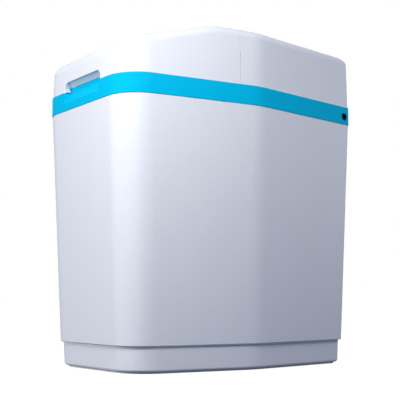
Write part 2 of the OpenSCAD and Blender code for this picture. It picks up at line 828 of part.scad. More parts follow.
module manifold() {
    groove = ring_r + 0.1;
    bridge_w = 1.4 * manifold_r;
    color(grey) difference() {
        translate([0, 0, neck_top]) linear_extrude(manifold_h) union() {
            for (p = tank_places) translate(p) circle(manifold_r);
            translate([0, tank_y]) circle(valve_hub_r);
            translate([-tank_x, tank_y - bridge_w / 2]) square([2 * tank_x, bridge_w]);
        }
        for (p = tank_places) translate([p.x, p.y, neck_top - 1]) {
            cylinder(r = riser_r + run_gap, h = riser_socket + 1 + seat_gap);
            difference() {
                cylinder(r = ring_place + groove, h = 1 + 2 * groove);
                translate([0, 0, -1]) cylinder(r = ring_place - groove, h = 3 + 2 * groove);
            }
        }
        for (p = screw_places) translate([p.x, p.y, manifold_top - screw_grip - 2])
            cylinder(r = cap_screw_r + press_gap, h = screw_grip + 3);
    }
    color(grey) along_y(tube_x, tube_end, tube_level) difference() {
        cylinder(r = brine_tube_r + 1.2, h = tank_y - tube_end);
        translate([0, 0, -1]) cylinder(r = brine_tube_r - tube_wall, h = 8);
    }
}

// Plan of the cap: a round plate with an ear over the turbine
module cap_plan(r, ear) {
    translate([0, tank_y]) circle(r);
    translate([0, tank_y - gear_distance]) circle(ear);
    translate([-ear, tank_y - gear_distance]) square([2 * ear, gear_distance]);
}

module valve_body() {
    boss_foot = tank_y + valve_r / 2;
    boss_l = port_seat - boss_foot;
    drain_foot = tank_y + valve_r - valve_wall;
    drain_boss_r = drain_r + 4;
    chamber_floor = 6;
    color(black) difference() {
        union() {
            translate([0, tank_y, manifold_top]) {
                cylinder(r = valve_foot_r, h = flange_t);
                cylinder(r = valve_r, h = valve_h);
            }
            translate([0, 0, valve_top - flange_t]) linear_extrude(flange_t) cap_plan(cap_r, ear_r);
            translate([0, tank_y - gear_distance, chamber_z - chamber_floor])
                cylinder(r = chamber_r, h = valve_top - chamber_z + chamber_floor);
            for (x = port_places) along_y(x, boss_foot, port_level) {
                cylinder(r = boss_r, h = boss_l);
                translate([0, 0, boss_l - port_flange_t]) cylinder(r = port_flange_r, h = port_flange_t);
            }
            along_y(0, drain_foot, port_level) cylinder(r = drain_boss_r, h = drain_seat - drain_foot);
        }
        translate([0, tank_y, valve_floor]) cylinder(r = valve_r - valve_wall, h = valve_h);
        translate([0, tank_y, valve_floor - socket_h])
            cylinder(r = meter_shaft_r + run_gap, h = socket_h + 1);
        translate([0, tank_y - gear_distance, chamber_z])
            cylinder(r = chamber_r - chamber_wall, h = valve_h);
        translate([0, tank_y - gear_distance, chamber_z - socket_h])
            cylinder(r = turbine_shaft_r + run_gap, h = socket_h + 1);
        for (x = port_places) along_y(x, port_seat - socket_d, port_level)
            cylinder(r = spigot_r + spigot_gap, h = socket_d + 1);
        along_y(0, drain_seat - drain_tail - 1, port_level)
            cylinder(r = drain_r - 1 + press_gap, h = drain_tail + 2);
        for (p = screw_places) translate([p.x, p.y, manifold_top - 1])
            cylinder(r = cap_screw_r + seat_gap, h = flange_t + 2);
        for (p = cap_screw_places) translate([p.x, p.y, valve_top - flange_t - 1])
            cylinder(r = cap_screw_r + press_gap, h = flange_t + 2);
    }
}

// A screw whose head sits at z = 0, with its shank below
module pan_screw(r, length) {
    translate([0, 0, -length]) cylinder(r = r, h = length + eps);
    difference() {
        cylinder(r = 1.8 * r, h = 1.3 * r);
        translate([0, 0, 0.6 * r]) cylinder(r = r, h = r, $fn = 6);
    }
}

module valve_screws() {
    color(steel) for (p = screw_places) translate([p.x, p.y, manifold_top + flange_t])
        pan_screw(cap_screw_r, flange_t + screw_grip);
}

module cap_screws() {
    color(steel) for (p = cap_screw_places) translate([p.x, p.y, cap_top])
        pan_screw(cap_screw_r, cap_t + flange_t - 1);
}

module valve_cap() {
    color(grey) difference() {
        translate([0, 0, valve_top]) linear_extrude(cap_t) cap_plan(cap_r, ear_r);
        translate([0, tank_y, valve_top - 1]) cylinder(r = meter_shaft_r + run_gap, h = cap_t + 2);
        translate([0, tank_y - gear_distance, valve_top - 1])
            cylinder(r = turbine_shaft_r + run_gap, h = cap_t + 2);
        for (p = cap_screw_places) translate([p.x, p.y, valve_top - 1])
            cylinder(r = cap_screw_r + seat_gap, h = cap_t + 2);
    }
}

module control_disc() {
    ports = 4;
    r = valve_r - valve_wall - 2;
    t = 8;
    color(white) translate([0, tank_y, valve_floor + 4]) difference() {
        cylinder(r = r, h = t);
        translate([0, 0, -1]) cylinder(r = meter_shaft_r + press_gap, h = t + 2);
        for (i = [0 : ports - 1]) rotate([0, 0, 360 * i / ports])
            translate([0.62 * r, 0, -1]) cylinder(r = r / 5, h = t + 2);
    }
}

module meter_shaft() {
    foot = valve_floor - socket_h + seat_gap;
    color(steel) translate([0, tank_y, foot]) cylinder(r = meter_shaft_r, h = knob_z + knob_h / 2 - foot);
}

// Half the angle of a tooth at a radius, in degrees
function involute(a) = tan(a) * 180 / PI - a;
function tooth_half(teeth, r) =
    let (pitch = gear_module * teeth / 2, base = pitch * cos(pressure_angle))
    90 / teeth - backlash / (4 * pitch) * 180 / PI + involute(pressure_angle)
        - (r > base ? involute(acos(base / r)) : 0);

// Outline of a gear with involute teeth
function gear_outline(teeth) =
    let (
        pitch = gear_module * teeth / 2,
        low = pitch - root_gap * gear_module,
        high = pitch + tip_gap * gear_module,
        stops = [for (i = [0 : 4]) low + (high - low) * i / 4]
    )
    [for (k = [0 : teeth - 1], side = [-1, 1], i = [0 : 4])
        let (r = stops[side < 0 ? i : 4 - i], a = 360 * k / teeth + side * tooth_half(teeth, r))
        r * [cos(a), sin(a)]];

module meter_disc() {
    spokes = 6;
    rim = disc_pitch_r - 7;
    hub = meter_shaft_r + 5;
    color(white) translate([0, tank_y, gear_z]) difference() {
        rotate([0, 0, -90]) linear_extrude(gear_t) polygon(gear_outline(disc_teeth));
        translate([0, 0, -1]) cylinder(r = meter_shaft_r + press_gap, h = gear_t + 2);
        for (i = [0 : spokes - 1]) rotate([0, 0, 360 * (i + 0.5) / spokes])
            translate([(rim + hub) / 2, 0, -1]) cylinder(r = (rim - hub) / 2 - 2, h = gear_t + 2);
    }
}

module meter_pinion() {
    color(cyan) translate([0, tank_y - gear_distance, gear_z]) difference() {
        rotate([0, 0, 90 + 180 / pinion_teeth]) linear_extrude(gear_t) polygon(gear_outline(pinion_teeth));
        translate([0, 0, -1]) cylinder(r = turbine_shaft_r + press_gap, h = gear_t + 2);
    }
}

module turbine_rotor() {
    blades = 6;
    blade_t = 1.4;
    blade_h = valve_top - chamber_z - 8;
    foot = chamber_z - socket_h + seat_gap;
    color(white) translate([0, tank_y - gear_distance, 0]) {
        translate([0, 0, foot]) cylinder(r = turbine_shaft_r, h = gear_z + gear_t + 1 - foot);
        translate([0, 0, chamber_z + 3]) {
            cylinder(r = turbine_shaft_r + 1.5, h = blade_h);
            for (i = [0 : blades - 1]) rotate([0, 0, 360 * i / blades])
                translate([0, -blade_t / 2, 0]) cube([turbine_r, blade_t, blade_h]);
        }
    }
}

module meter_cover() {
    disc_room = disc_pitch_r + gear_module + cover_gap;
    ear_room = pinion_pitch_r + gear_module + cover_gap;
    color([0.8, 0.85, 0.9, 0.5]) difference() {
        translate([0, 0, cap_top]) linear_extrude(meter_cover_h)
            cap_plan(disc_room + cover_wall, ear_room + cover_wall);
        translate([0, 0, cap_top - 1]) linear_extrude(meter_cover_h - cover_wall + 1)
            cap_plan(disc_room, ear_room);
        translate([0, tank_y, cap_top]) cylinder(r = meter_shaft_r + 1, h = meter_cover_h + 1);
    }
}

module rinse_knob() {
    grips = 12;
    rim = 3;
    color(cyan) translate([0, tank_y, knob_z]) difference() {
        union() {
            cylinder(r = knob_r, h = rim);
            cylinder(r = knob_r - rim, h = knob_h);
        }
        for (i = [0 : grips - 1]) rotate([0, 0, 360 * i / grips])
            translate([knob_r - rim + 0.6, 0, rim + 0.4]) cylinder(r = 1.8, h = knob_h);
        translate([0, 0, -1]) cylinder(r = meter_shaft_r + press_gap, h = knob_h / 2 + 1);
    }
}

// A straight connector: a sealed spigot in the valve body, a flange and a plain outer end
module port(x) {
    groove_r = spigot_r - 2 * ring_r;
    groove_w = 2 * ring_r + 0.2;
    color(black) along_y(x, 0, port_level) difference() {
        union() {
            translate([0, 0, port_seat - socket_d + seat_gap]) cylinder(r = spigot_r, h = socket_d);
            translate([0, 0, port_seat + seat_gap]) cylinder(r = port_flange_r, h = port_flange_t);
            translate([0, 0, port_seat]) cylinder(r = spigot_r, h = port_end - port_l - port_seat);
            translate([0, 0, port_end - port_l]) cylinder(r = port_r, h = port_l);
        }
        translate([0, 0, port_seat - socket_d])
            cylinder(r = port_bore_r, h = socket_d + port_end - port_seat + 1);
        translate([0, 0, port_seat - (socket_d + groove_w) / 2]) difference() {
            cylinder(r = spigot_r + 1, h = groove_w);
            cylinder(r = groove_r, h = groove_w);
        }
    }
}
module inlet_port() port(port_places[1]);
module outlet_port() port(port_places[0]);

module port_o_rings() {
    color(black) for (x = port_places) along_y(x, port_seat - socket_d / 2, port_level)
        rotate_extrude() translate([spigot_r - ring_r, 0]) circle(ring_r);
}

// Open spring rings that hold a port's flange to the valve body's flange
module port_clips() {
    opening = 100;
    t = 1.4;
    low = -seat_gap / 2;
    high = 2 * port_flange_t + 1.5 * seat_gap;
    inner = boss_r + seat_gap;
    outer = port_flange_r + seat_gap;
    color(steel) for (x = port_places) along_y(x, port_seat - port_flange_t, port_level)
        rotate([0, 0, 90 + opening / 2]) rotate_extrude(angle = 360 - opening) polygon([
            [inner, low - t], [outer + t, low - t], [outer + t, high + t], [inner, high + t],
            [inner, high], [outer, high], [outer, low], [inner, low]
        ]);
}

module drain_spigot() {
    color(grey) along_y(0, drain_seat, port_level) difference() {
        union() {
            translate([0, 0, -drain_tail]) cylinder(r = drain_r - 1, h = drain_tail + 1);
            cylinder(r = drain_r + 3, h = drain_hex_t, $fn = 6);
            translate([0, 0, drain_hex_t]) cylinder(r = drain_r, h = drain_l);
        }
        translate([0, 0, -drain_tail - 1])
            cylinder(r = drain_r - 3, h = drain_tail + drain_l + drain_hex_t + 2);
    }
}

module brine_well() {
    slots = 8;
    slot = 3;
    color(white) translate([well_x, well_y, well_base]) difference() {
        cylinder(r = well_r, h = well_h);
        translate([0, 0, -1]) cylinder(r = well_r - well_wall, h = well_h + 2);
        for (i = [0 : slots - 1], k = [0 : 2]) rotate([0, 0, 360 * (i + 0.5) / slots])
            translate([well_r - well_wall - 2, -slot / 2, 14 + 26 * k]) cube([well_wall + 4, slot, 18]);
    }
}

module brine_well_cap() {
    skirt_h = 10;
    plate_t = 4;
    cap_out_r = well_r + 2.5;
    color(white) translate([0, 0, well_top]) difference() {
        union() {
            translate([well_x, well_y, 0]) cylinder(r = cap_out_r, h = plate_t);
            translate([well_x, well_y, -skirt_h]) difference() {
                cylinder(r = cap_out_r, h = skirt_h + 1);
                translate([0, 0, -1]) cylinder(r = well_r + seat_gap, h = skirt_h + 1);
            }
        }
        translate([rod_x, well_y, -1]) cylinder(r = rod_r + run_gap, h = plate_t + 2);
        translate([tube_x, well_y, -1]) cylinder(r = brine_tube_r + seat_gap, h = plate_t + 2);
    }
}

module brine_valve() {
    foot_r = well_r - well_wall - seat_gap;
    foot_t = 8;
    color(grey) difference() {
        translate([well_x, well_y, well_base]) union() {
            cylinder(r = foot_r, h = foot_t);
            cylinder(r = foot_r - 5, h = valve_seat_z - well_base);
        }
        translate([tube_x, well_y, tube_foot]) cylinder(r = brine_tube_r + press_gap, h = 11);
        translate([rod_x, well_y, rod_foot - seat_gap])
            cylinder(r = rod_r + run_gap, h = valve_seat_z - rod_foot + 1);
    }
}

// One tube from the brine valve up through the cap, over a bend, to the manifold
module brine_tube() {
    color([0.85, 0.88, 0.9]) difference() {
        brine_path(brine_tube_r, 0);
        brine_path(brine_tube_r - tube_wall, 1);
    }
}

// The tube's own path at a radius, made longer at both ends
module brine_path(r, extra) {
    rise = tube_level - brine_bend_r;
    run = tube_end - well_y - brine_bend_r;
    translate([tube_x, well_y, tube_foot - extra]) cylinder(r = r, h = rise - tube_foot + extra + eps);
    translate([tube_x, well_y + brine_bend_r, rise]) rotate([90, 0, 90]) rotate([0, 0, 90])
        rotate_extrude(angle = 90) translate([brine_bend_r, 0]) circle(r);
    along_y(tube_x, well_y + brine_bend_r - eps, tube_level) cylinder(r = r, h = run + extra + eps);
}

module brine_nut() {
    nut_l = 12;
    color(black) along_y(tube_x, tube_end - nut_l, tube_level) difference() {
        cylinder(r = brine_nut_r, h = nut_l, $fn = 6);
        translate([0, 0, -1]) cylinder(r = brine_tube_r + press_gap, h = nut_l + 2);
    }
}

module float() {
    edge_r = 3;
    color(white) translate([rod_x, well_y, float_z]) difference() {
        rotate_extrude() union() {
            square([float_r - edge_r, float_h]);
            translate([0, edge_r]) square([float_r, float_h - 2 * edge_r]);
            for (z = [edge_r, float_h - edge_r]) translate([float_r - edge_r, z]) circle(edge_r);
        }
        translate([0, 0, -1]) cylinder(r = rod_r + press_gap, h = float_h + 2);
    }
}

module float_rod() {
    color(steel) translate([rod_x, well_y, rod_foot]) cylinder(r = rod_r, h = rod_top - rod_foot);
}

// Rings on the rod: one under the float, one over it, and one that meets the well's cap at the top
module rod_stops() {
    stop_h = 6;
    levels = [float_z - stop_h, float_z + float_h, well_top - float_travel - stop_h];
    color(black) for (z = levels) translate([rod_x, well_y, z]) difference() {
        cylinder(r = rod_r + 3, h = stop_h);
        translate([0, 0, -1]) cylinder(r = rod_r + press_gap, h = stop_h + 2);
    }
}

module salt_platform() {
    inset = tub_wall + 4 * seat_gap;
    slot_step_x = 2.3 * slot_w;
    slot_step_y = slot_l + 8;
    columns = 5;
    rows = 4;
    leg_r = 7;
    leg_x = 40;
    color(white) {
        translate([0, 0, ledge_z]) linear_extrude(platform_t) difference() {
            polygon(both_sides(bay_plan(body_side(ledge_z) + inset, body_end(ledge_z) + inset, inset,
                platform_end)));
            translate([well_x, well_y]) circle(well_r + 1);
            for (i = [-columns : columns], k = [0 : rows - 1])
                translate([i * slot_step_x, seam_y - slot_step_y * (k + 0.2)])
                    square([slot_w, slot_l], center = true);
        }
        for (x = [-leg_x, leg_x]) translate([x, platform_end - leg_r - 4, inner_floor])
            cylinder(r = leg_r, h = ledge_z - inner_floor + eps);
    }
}

tub();
collar();
front_lid();
rear_cover();
hinge_pins();
cover_screws();
overflow_grommet();
tank_cradle();
resin_tank_left();
resin_tank_right();
resin_bed_left();
resin_bed_right();
riser_tube_left();
riser_tube_right();
distributor_left();
distributor_right();
tank_nut_left();
tank_nut_right();
tank_o_rings();
manifold();
valve_body();
valve_screws();
valve_cap();
cap_screws();
control_disc();
meter_shaft();
meter_disc();
meter_cover();
rinse_knob();
turbine_rotor();
meter_pinion();
inlet_port();
outlet_port();
port_o_rings();
port_clips();
drain_spigot();
brine_well();
brine_well_cap();
brine_valve();
brine_tube();
brine_nut();
float();
float_rod();
rod_stops();
salt_platform();
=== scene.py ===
"""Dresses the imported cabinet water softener: smooth mouldings, screws, finishes, a studio.

Run as a script inside Blender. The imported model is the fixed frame, in metres, with the floor at z = 0.
"""

import json
import math
from types import SimpleNamespace

import bmesh
import bpy
import numpy as np
from bpy.props import FloatProperty, FloatVectorProperty, PointerProperty
from mathutils import Matrix, Vector


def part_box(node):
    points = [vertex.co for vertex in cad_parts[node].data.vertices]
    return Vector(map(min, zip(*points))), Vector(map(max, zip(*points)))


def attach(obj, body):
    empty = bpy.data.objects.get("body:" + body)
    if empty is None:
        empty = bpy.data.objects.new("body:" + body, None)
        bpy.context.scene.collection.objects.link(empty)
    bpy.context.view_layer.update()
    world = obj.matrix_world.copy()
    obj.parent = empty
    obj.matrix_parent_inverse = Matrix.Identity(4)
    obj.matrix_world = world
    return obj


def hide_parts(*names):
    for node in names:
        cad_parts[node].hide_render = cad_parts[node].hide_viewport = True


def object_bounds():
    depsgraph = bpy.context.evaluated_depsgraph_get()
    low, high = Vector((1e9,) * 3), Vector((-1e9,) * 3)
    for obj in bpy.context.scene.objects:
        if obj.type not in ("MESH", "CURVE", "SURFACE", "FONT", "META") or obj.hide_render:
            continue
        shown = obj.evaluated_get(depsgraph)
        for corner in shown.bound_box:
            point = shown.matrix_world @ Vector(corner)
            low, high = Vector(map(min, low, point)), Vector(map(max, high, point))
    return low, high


bl_info = {
    "name": "Cabinet Water Softener",
    "version": (1, 0, 0),
    "blender": (4, 5, 0),
    "location": "3D View > Sidebar > Softener",
    "description": "Smooth mouldings, screws, finishes and a plain studio for a cabinet water softener",
    "category": "Object",
}

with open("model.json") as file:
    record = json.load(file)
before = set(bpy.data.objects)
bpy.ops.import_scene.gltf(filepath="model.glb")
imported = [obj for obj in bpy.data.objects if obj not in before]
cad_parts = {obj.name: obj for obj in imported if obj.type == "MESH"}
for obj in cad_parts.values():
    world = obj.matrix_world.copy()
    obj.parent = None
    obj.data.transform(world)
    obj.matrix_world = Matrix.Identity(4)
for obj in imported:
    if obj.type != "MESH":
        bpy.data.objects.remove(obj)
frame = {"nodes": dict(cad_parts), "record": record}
CAD_LOW, CAD_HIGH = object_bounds()
BODY_OF = {n: body for body, nodes in frame["record"]["behaviour"]["bodies"].items() for n in nodes}
SLOT_OF = {row["node"]: row["material_slot"] for row in frame["record"]["subparts"]}

# Reach of a cutting shape past what it cuts, a hair's breadth, and the distance at which points merge
MARGIN = 0.001
HAIR = 1e-5
MERGE = 1e-6

# Fixed lengths of the mouldings, in metres
RIM_DROP = 0.004
RIM_TAPER = 0.004
FOOT_SET_IN = 0.001
FLOOR_FILLET = 0.004
CUP_ROOM = 0.008
SCOOP_EDGE = 0.003
SCREW_HOLE = 0.02
HINGE_ROOM = 0.0006
RUN_GAP = 0.00006
PRESS_GAP = 0.00002
NOTCH_CORNER = 0.008
WAY_TOP = 0.5
LEAST_CORNER = 0.0006

# Facets of round forms
FRONT_STEPS = 24
SIDE_STEPS = 12
REAR_STEPS = 8
ROUND_STEPS = 10
EDGE_STEPS = 4
DOME_STEPS = 6
CREASE_STEPS = 12
BAR_STEPS = 64
PIN_STEPS = 48
CUP_STEPS = 128
SCOOP_STEPS = 160

# How far across and down the ceiling of the recess has its bend
CEILING_BEND = (0.5, 0.4)

# Finishes: bands of fibre round a tank and their pitch, relief, mottling, gloss and the noise in use
WINDING = {"Turns": 18, "Pitch": 0.02}
RELIEF_DEPTH = 0.0004
MOTTLE_SCALE = 14.0
GLOSS_SPREAD = 0.03
NOISE_SPAN = (0.3, 0.7)

# Stage: the camera's sensor in millimetres, the floor's size and drop, and how much white it shows
SENSOR_WIDTH = 36.0
FLOOR_RADIUS = 40
FLOOR_DROP = 0.0002
SHOWN_SHARE = 0.6
SHOWN_WHITE = 0.975


# Settings that a user would change


def setting(kind, **fixed):
    """A maker of settings of one kind."""

    def make(name, value, about):
        return kind(name=name, default=value, description=about, **fixed)

    return make


length = setting(FloatProperty, min=0.0, unit="LENGTH", precision=4)
power = setting(FloatProperty, min=0.0, unit="POWER")
angle = setting(FloatProperty, subtype="ANGLE", unit="ROTATION")
lens = setting(FloatProperty, subtype="DISTANCE_CAMERA")
tint = setting(FloatVectorProperty, subtype="COLOR", min=0.0, max=1.0)
place = setting(FloatVectorProperty, subtype="TRANSLATION", unit="LENGTH")


class SoftenerSizes(bpy.types.PropertyGroup):
    """Sizes of the cabinet's mouldings"""

    front_width: length("Front width", 0.251, "Width of the front face between its sharp corners")
    middle_width: length("Middle width", 0.312, "Width across the widest line of the sides")
    rear_width: length("Rear width", 0.249, "Width of the rear face between its sharp corners")
    depth: length("Depth", 0.437, "Depth from the front face to the rear face")
    front_corner: length("Front corner", 0.051, "Radius of the front corners")
    side_corner: length("Side edge", 0.100, "Radius of the soft edge down each side")
    rear_corner: length("Rear corner", 0.008, "Radius of the rear corners")
    foot_height: length("Foot ring", 0.002, "Height of the foot ring under the plinth")
    plinth_height: length("Plinth", 0.0375, "Height of the plinth")
    tub_height: length("Tub", 0.388, "Height of the tub, up to the band")
    band_height: length("Band", 0.0297, "Height of the coloured band")
    lid_front: length("Lid front", 0.0478, "Height of the lid's front edge above the band")
    cover_height: length("Cover", 0.0863, "Height of the flat top above the band")
    tub_wall: length("Tub wall", 0.0032, "Wall of the tub")
    lid_wall: length("Lid wall", 0.003, "Wall of the lid and the cover")
    floor_wall: length("Tub floor", 0.005, "Thickness of the tub's floor")
    side_lean: angle("Side lean", math.radians(1.7), "Lean of the tub's sides")
    end_lean: angle("End lean", math.radians(2.7), "Lean of the tub's front and rear")
    plinth_step: length("Plinth step", 0.0037, "Step from the tub in to the plinth")
    base_edge: length("Plinth edge", 0.004, "Radius of the plinth's lower edge")
    tub_edge: length("Tub edge", 0.0016, "Radius of the tub's lower edge, over the plinth")
    band_proud: length("Band proud", 0.0008, "How far the band stands out from the tub")
    band_wall: length("Band wall", 0.0034, "Wall of the band")
    band_edge: length("Band edge", 0.0008, "Radius of the band's edges")
    lip_height: length("Lip", 0.008, "Height of the band's lip inside the lid")
    lid_setback: length("Lid set-back", 0.0015, "Set-back of the lid from the band")
    lid_lean: length("Lid lean", 0.001, "How far the lid's walls lean in at their top")
    top_edge: length("Top edge", 0.014, "Radius of the upper edges of lid and cover")
    rear_edge: length("Rear top edge", 0.020, "Depth of the rounding along the cover's rear top edge")
    rear_top_corner: length("Rear top corner", 0.0145, "Radius of the rear corners at the very top")
    seat_gap: length("Seat gap", 0.0003, "Gap between parts that seat on each other")
    seam_lead: length("Seam", 0.033, "How far the seam lies in front of the widest line")
    seam_gap: length("Seam gap", 0.0008, "Width of the seam")
    flat_run: length("Flat run", 0.038, "Flat stretch between the lid's slope and the seam")
    crease_run: length("Crease", 0.020, "Length over which the slope turns flat")
    grip_width: length("Recess width", 0.110, "Width of the finger recess")
    grip_depth: length("Recess depth", 0.012, "Depth of the finger recess")
    grip_rise: length("Recess rise", 0.015, "Height of the recess in the lid")
    grip_drop: length("Recess drop", 0.0175, "How far the recess reaches down the band")
    grip_corner: length("Recess corner", 0.011, "Radius of the recess's upper corners")
    rib_height: length("Rib height", 0.008, "Height of the ribs under lid and cover")
    rib_place: length("Rib place", 0.044, "Distance of each long rib from the middle")
    rib_wall: length("Rib wall", 0.002, "Thickness of those ribs")
    hinge_place: length("Hinge place", 0.072, "Distance of each hinge from the middle")
    knuckle_radius: length("Knuckle", 0.004, "Radius of the hinge knuckles")
    lid_knuckle: length("Lid knuckle", 0.024, "Length of the lid's knuckle")
    cover_knuckle: length("Cover knuckle", 0.011, "Length of each of the cover's knuckles")
    pin_radius: length("Hinge pin", 0.0015, "Radius of the hinge pins")
    notch_width: length("Pipe notch width", 0.124, "Width of the opening for the pipes")
    notch_height: length("Pipe notch height", 0.042, "Height of the opening for the pipes")
    screw_place: length("Screw place", 0.088, "Distance of each cover screw from the middle")
    screw_radius: length("Screw radius", 0.0016, "Radius of the cover screws")
    grommet_back: length("Grommet", 0.0164, "Distance of the grommet from the rear corner")
    grommet_drop: length("Grommet drop", 0.0015, "How far the grommet lies below the band's middle")
    grommet_neck: length("Grommet neck", 0.0047, "Radius of the grommet's neck")
    grommet_flange: length("Grommet flange", 0.0059, "Radius of the grommet's flange")


class SoftenerColours(bpy.types.PropertyGroup):
    """Colours of the finishes"""

    cabinet: tint("Cabinet", (0.80, 0.815, 0.84), "White mouldings of the cabinet")
    band: tint("Band", (0.002, 0.505, 0.765), "Cyan blue band")
    inner: tint("Inner mouldings", (0.78, 0.79, 0.80), "Natural white mouldings inside")
    tank: tint("Tanks", (0.08, 0.18, 0.33), "Wound resin tanks")
    resin: tint("Resin", (0.50, 0.26, 0.05), "Resin beads")
    grey: tint("Grey mouldings", (0.22, 0.23, 0.25), "Grey mouldings of the valve head")
    black: tint("Black mouldings", (0.025, 0.025, 0.028), "Filled black mouldings of the valve head")
    accent: tint("Blue mouldings", (0.01, 0.36, 0.70), "Knob and pinion")
    rubber: tint("Rubber", (0.003, 0.003, 0.004), "Grommet, seals and stops")
    steel: tint("Steel", (0.62, 0.63, 0.65), "Screws, pins, shafts and clips")
    clear: tint("Clear cover", (0.82, 0.88, 0.92), "Clear cover over the gears")
    tube: tint("Brine tube", (0.72, 0.76, 0.78), "Semi-clear tube")


class SoftenerStage(bpy.types.PropertyGroup):
    """Camera, lamps and floor"""

    camera_place: place("Camera", (1.14757, -0.82774, 0.10312), "Place of the camera")
    camera_aim: place("Aim", (0.00343, -0.00161, 0.26080), "Point that the camera looks at")
    focal_length: lens("Lens", 79.344, "Focal length")
    lamp_size: length("Lamp size", 0.4, "Width of each square lamp")
    fill_place: place("Fill place", (-0.820, -2.100, 0.600), "Place of the lamp in front")
    fill_power: power("Fill", 19.4, "Power of the lamp in front")
    key_place: place("Key place", (0.606, -0.595, 0.715), "Place of the lamp near the corner")
    key_power: power("Key", 6.95, "Power of the lamp near the corner")
    rim_place: place("Rim place", (0.290, 0.755, 0.430), "Place of the lamp behind the right side")
    rim_power: power("Rim", 1.30, "Power of the lamp behind the right side")
    top_place: place("Top place", (0.350, 0.450, 1.500), "Place of the lamp overhead")
    top_power: power("Top", 1.3, "Power of the lamp overhead")
    back_place: place("Back place", (-1.100, 1.300, 0.900), "Place of the lamp behind the left side")
    back_power: power("Back", 8.0, "Power of the lamp behind the left side")
    lamp_colour: tint("Lamps", (1.0, 1.0, 1.0), "Colour of the lamps")
    sky: tint("Sky", (0.055, 0.095, 0.230), "Soft light from all round")
    floor: tint("Floor", (0.11, 0.118, 0.15), "Colour of the floor")


# Plan of the cabinet


def levels(s):
    """Heights, steps and lines that follow from the sizes."""
    v = SimpleNamespace()
    v.half = s.depth / 2
    v.front_lean = math.atan((s.middle_width - s.front_width) / s.depth)
    v.rear_lean = math.atan((s.middle_width - s.rear_width) / s.depth)
    v.ledge = s.plinth_height + s.tub_wall
    v.band_top = s.tub_height + s.band_height
    v.rim_top = v.band_top - RIM_DROP
    v.lip_top = v.band_top + s.lip_height
    v.lid_bottom = v.band_top + s.seat_gap
    v.front_top = v.band_top + s.lid_front
    v.top = v.band_top + s.cover_height
    v.rim_out = s.band_wall + s.seat_gap
    v.rim_in = v.rim_out + s.tub_wall
    v.lip_out = s.lid_setback + s.lid_wall + 2 * s.seat_gap
    v.lip_in = v.lip_out + s.tub_wall
    v.seam = -s.seam_lead
    v.lid_end = v.seam - s.seam_gap / 2
    v.cover_start = v.seam + s.seam_gap / 2
    v.crease = v.seam - s.flat_run
    v.slope = (v.top - v.front_top) / (v.crease + v.half)
    v.lid_in = s.lid_setback + s.lid_wall
    v.scoop_rise = s.grip_drop + s.lip_height
    v.scoop_out = (v.scoop_rise**2 - s.grip_depth**2) / (2 * s.grip_depth)
    v.scoop_radius = v.scoop_out + s.grip_depth
    v.grip_wall = 0.003
    v.grip_ceiling = v.band_top + s.grip_rise
    v.grip_bevel = 0.0007
    v.grip_gap = 0.0020
    v.hinge_cut = s.knuckle_radius + HINGE_ROOM
    v.knuckle_gap = 0.0003
    v.hinge_length = s.lid_knuckle + 2 * (s.cover_knuckle + v.knuckle_gap)
    v.screw_level = v.band_top + s.lip_height / 2
    v.rib_end = 0.012
    low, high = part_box("resin_tank_left")
    v.tank_depth = (low[1] + high[1]) / 2
    out = Vector((math.cos(v.rear_lean), math.sin(v.rear_lean), 0))
    corner = Vector((s.rear_width / 2, v.half, 0))
    v.grommet_axis = out
    v.grommet = corner + s.grommet_back * Vector((out.y, -out.x, 0))
    v.grommet.z = s.tub_height + s.band_height / 2 - s.grommet_drop
    return v


def sizes_of(context):
    """The scene's sizes and what follows from them."""
    s = context.scene.softener_sizes
    return s, levels(s)


def unit(p):
    return p / np.linalg.norm(p)


def rounding(radius, steps):
    """Steps of a quarter circle, as pairs: one runs from 0 to the radius, the other from it to 0."""
    turns = [math.pi / 2 * i / steps for i in range(steps + 1)]
    return [(radius * (1 - math.cos(t)), radius * (1 - math.sin(t))) for t in turns]


def corner_arc(before, corner, after, radius, steps):
    """Points of a round corner between the sides to its two neighbours."""
    u, w = unit(before - corner), unit(after - corner)
    half = math.acos(float(np.clip(u @ w, -1, 1))) / 2
    centre = corner + unit(u + w) * radius / math.sin(half)
    first = corner + u * radius / math.tan(half) - centre
    start, turn = math.atan2(first[1], first[0]), math.pi - 2 * half
    turns = [start + turn * i / steps for i in range(steps + 1)]
    return [centre + radius * np.array((math.cos(t), math.sin(t))) for t in turns]


def side_line(s, v, depth, inset):
    """Half width of the plan at a depth, set in from the band's face."""
    if depth < 0:
        return s.middle_width / 2 + depth * math.tan(v.front_lean) - inset / math.cos(v.front_lean)
    return s.middle_width / 2 - depth * math.tan(v.rear_lean) - inset / math.cos(v.rear_lean)


def half_plan(s, v, side, end, cut):
    """Right half of the plan from front to rear, set in by side and end, its corners smaller by cut."""
    front = np.array((side_line(s, v, -v.half + end, side), -v.half + end))
    rear = np.array((side_line(s, v, v.half - end, side), v.half - end))
    tans = math.tan(v.front_lean) + math.tan(v.rear_lean)
    edge_y = side * (1 / math.cos(v.front_lean) - 1 / math.cos(v.rear_lean)) / tans
    edge_x = s.middle_width / 2 + edge_y * math.tan(v.front_lean) - side / math.cos(v.front_lean)
    edge = np.array((edge_x, edge_y))

    def radius(full):
        return max(LEAST_CORNER, full - cut)

    return [
        *corner_arc(np.array((0, front[1])), front, edge, radius(s.front_corner), FRONT_STEPS),
        *corner_arc(front, edge, rear, radius(s.side_corner), SIDE_STEPS),
        *corner_arc(edge, rear, np.array((0, rear[1])), radius(s.rear_corner), REAR_STEPS),
    ]


def crease_stops(s, v):
    """Depths at which the lid's crown bends."""
    return [v.crease + (i / CREASE_STEPS - 0.5) * s.crease_run for i in range(CREASE_STEPS + 1)]


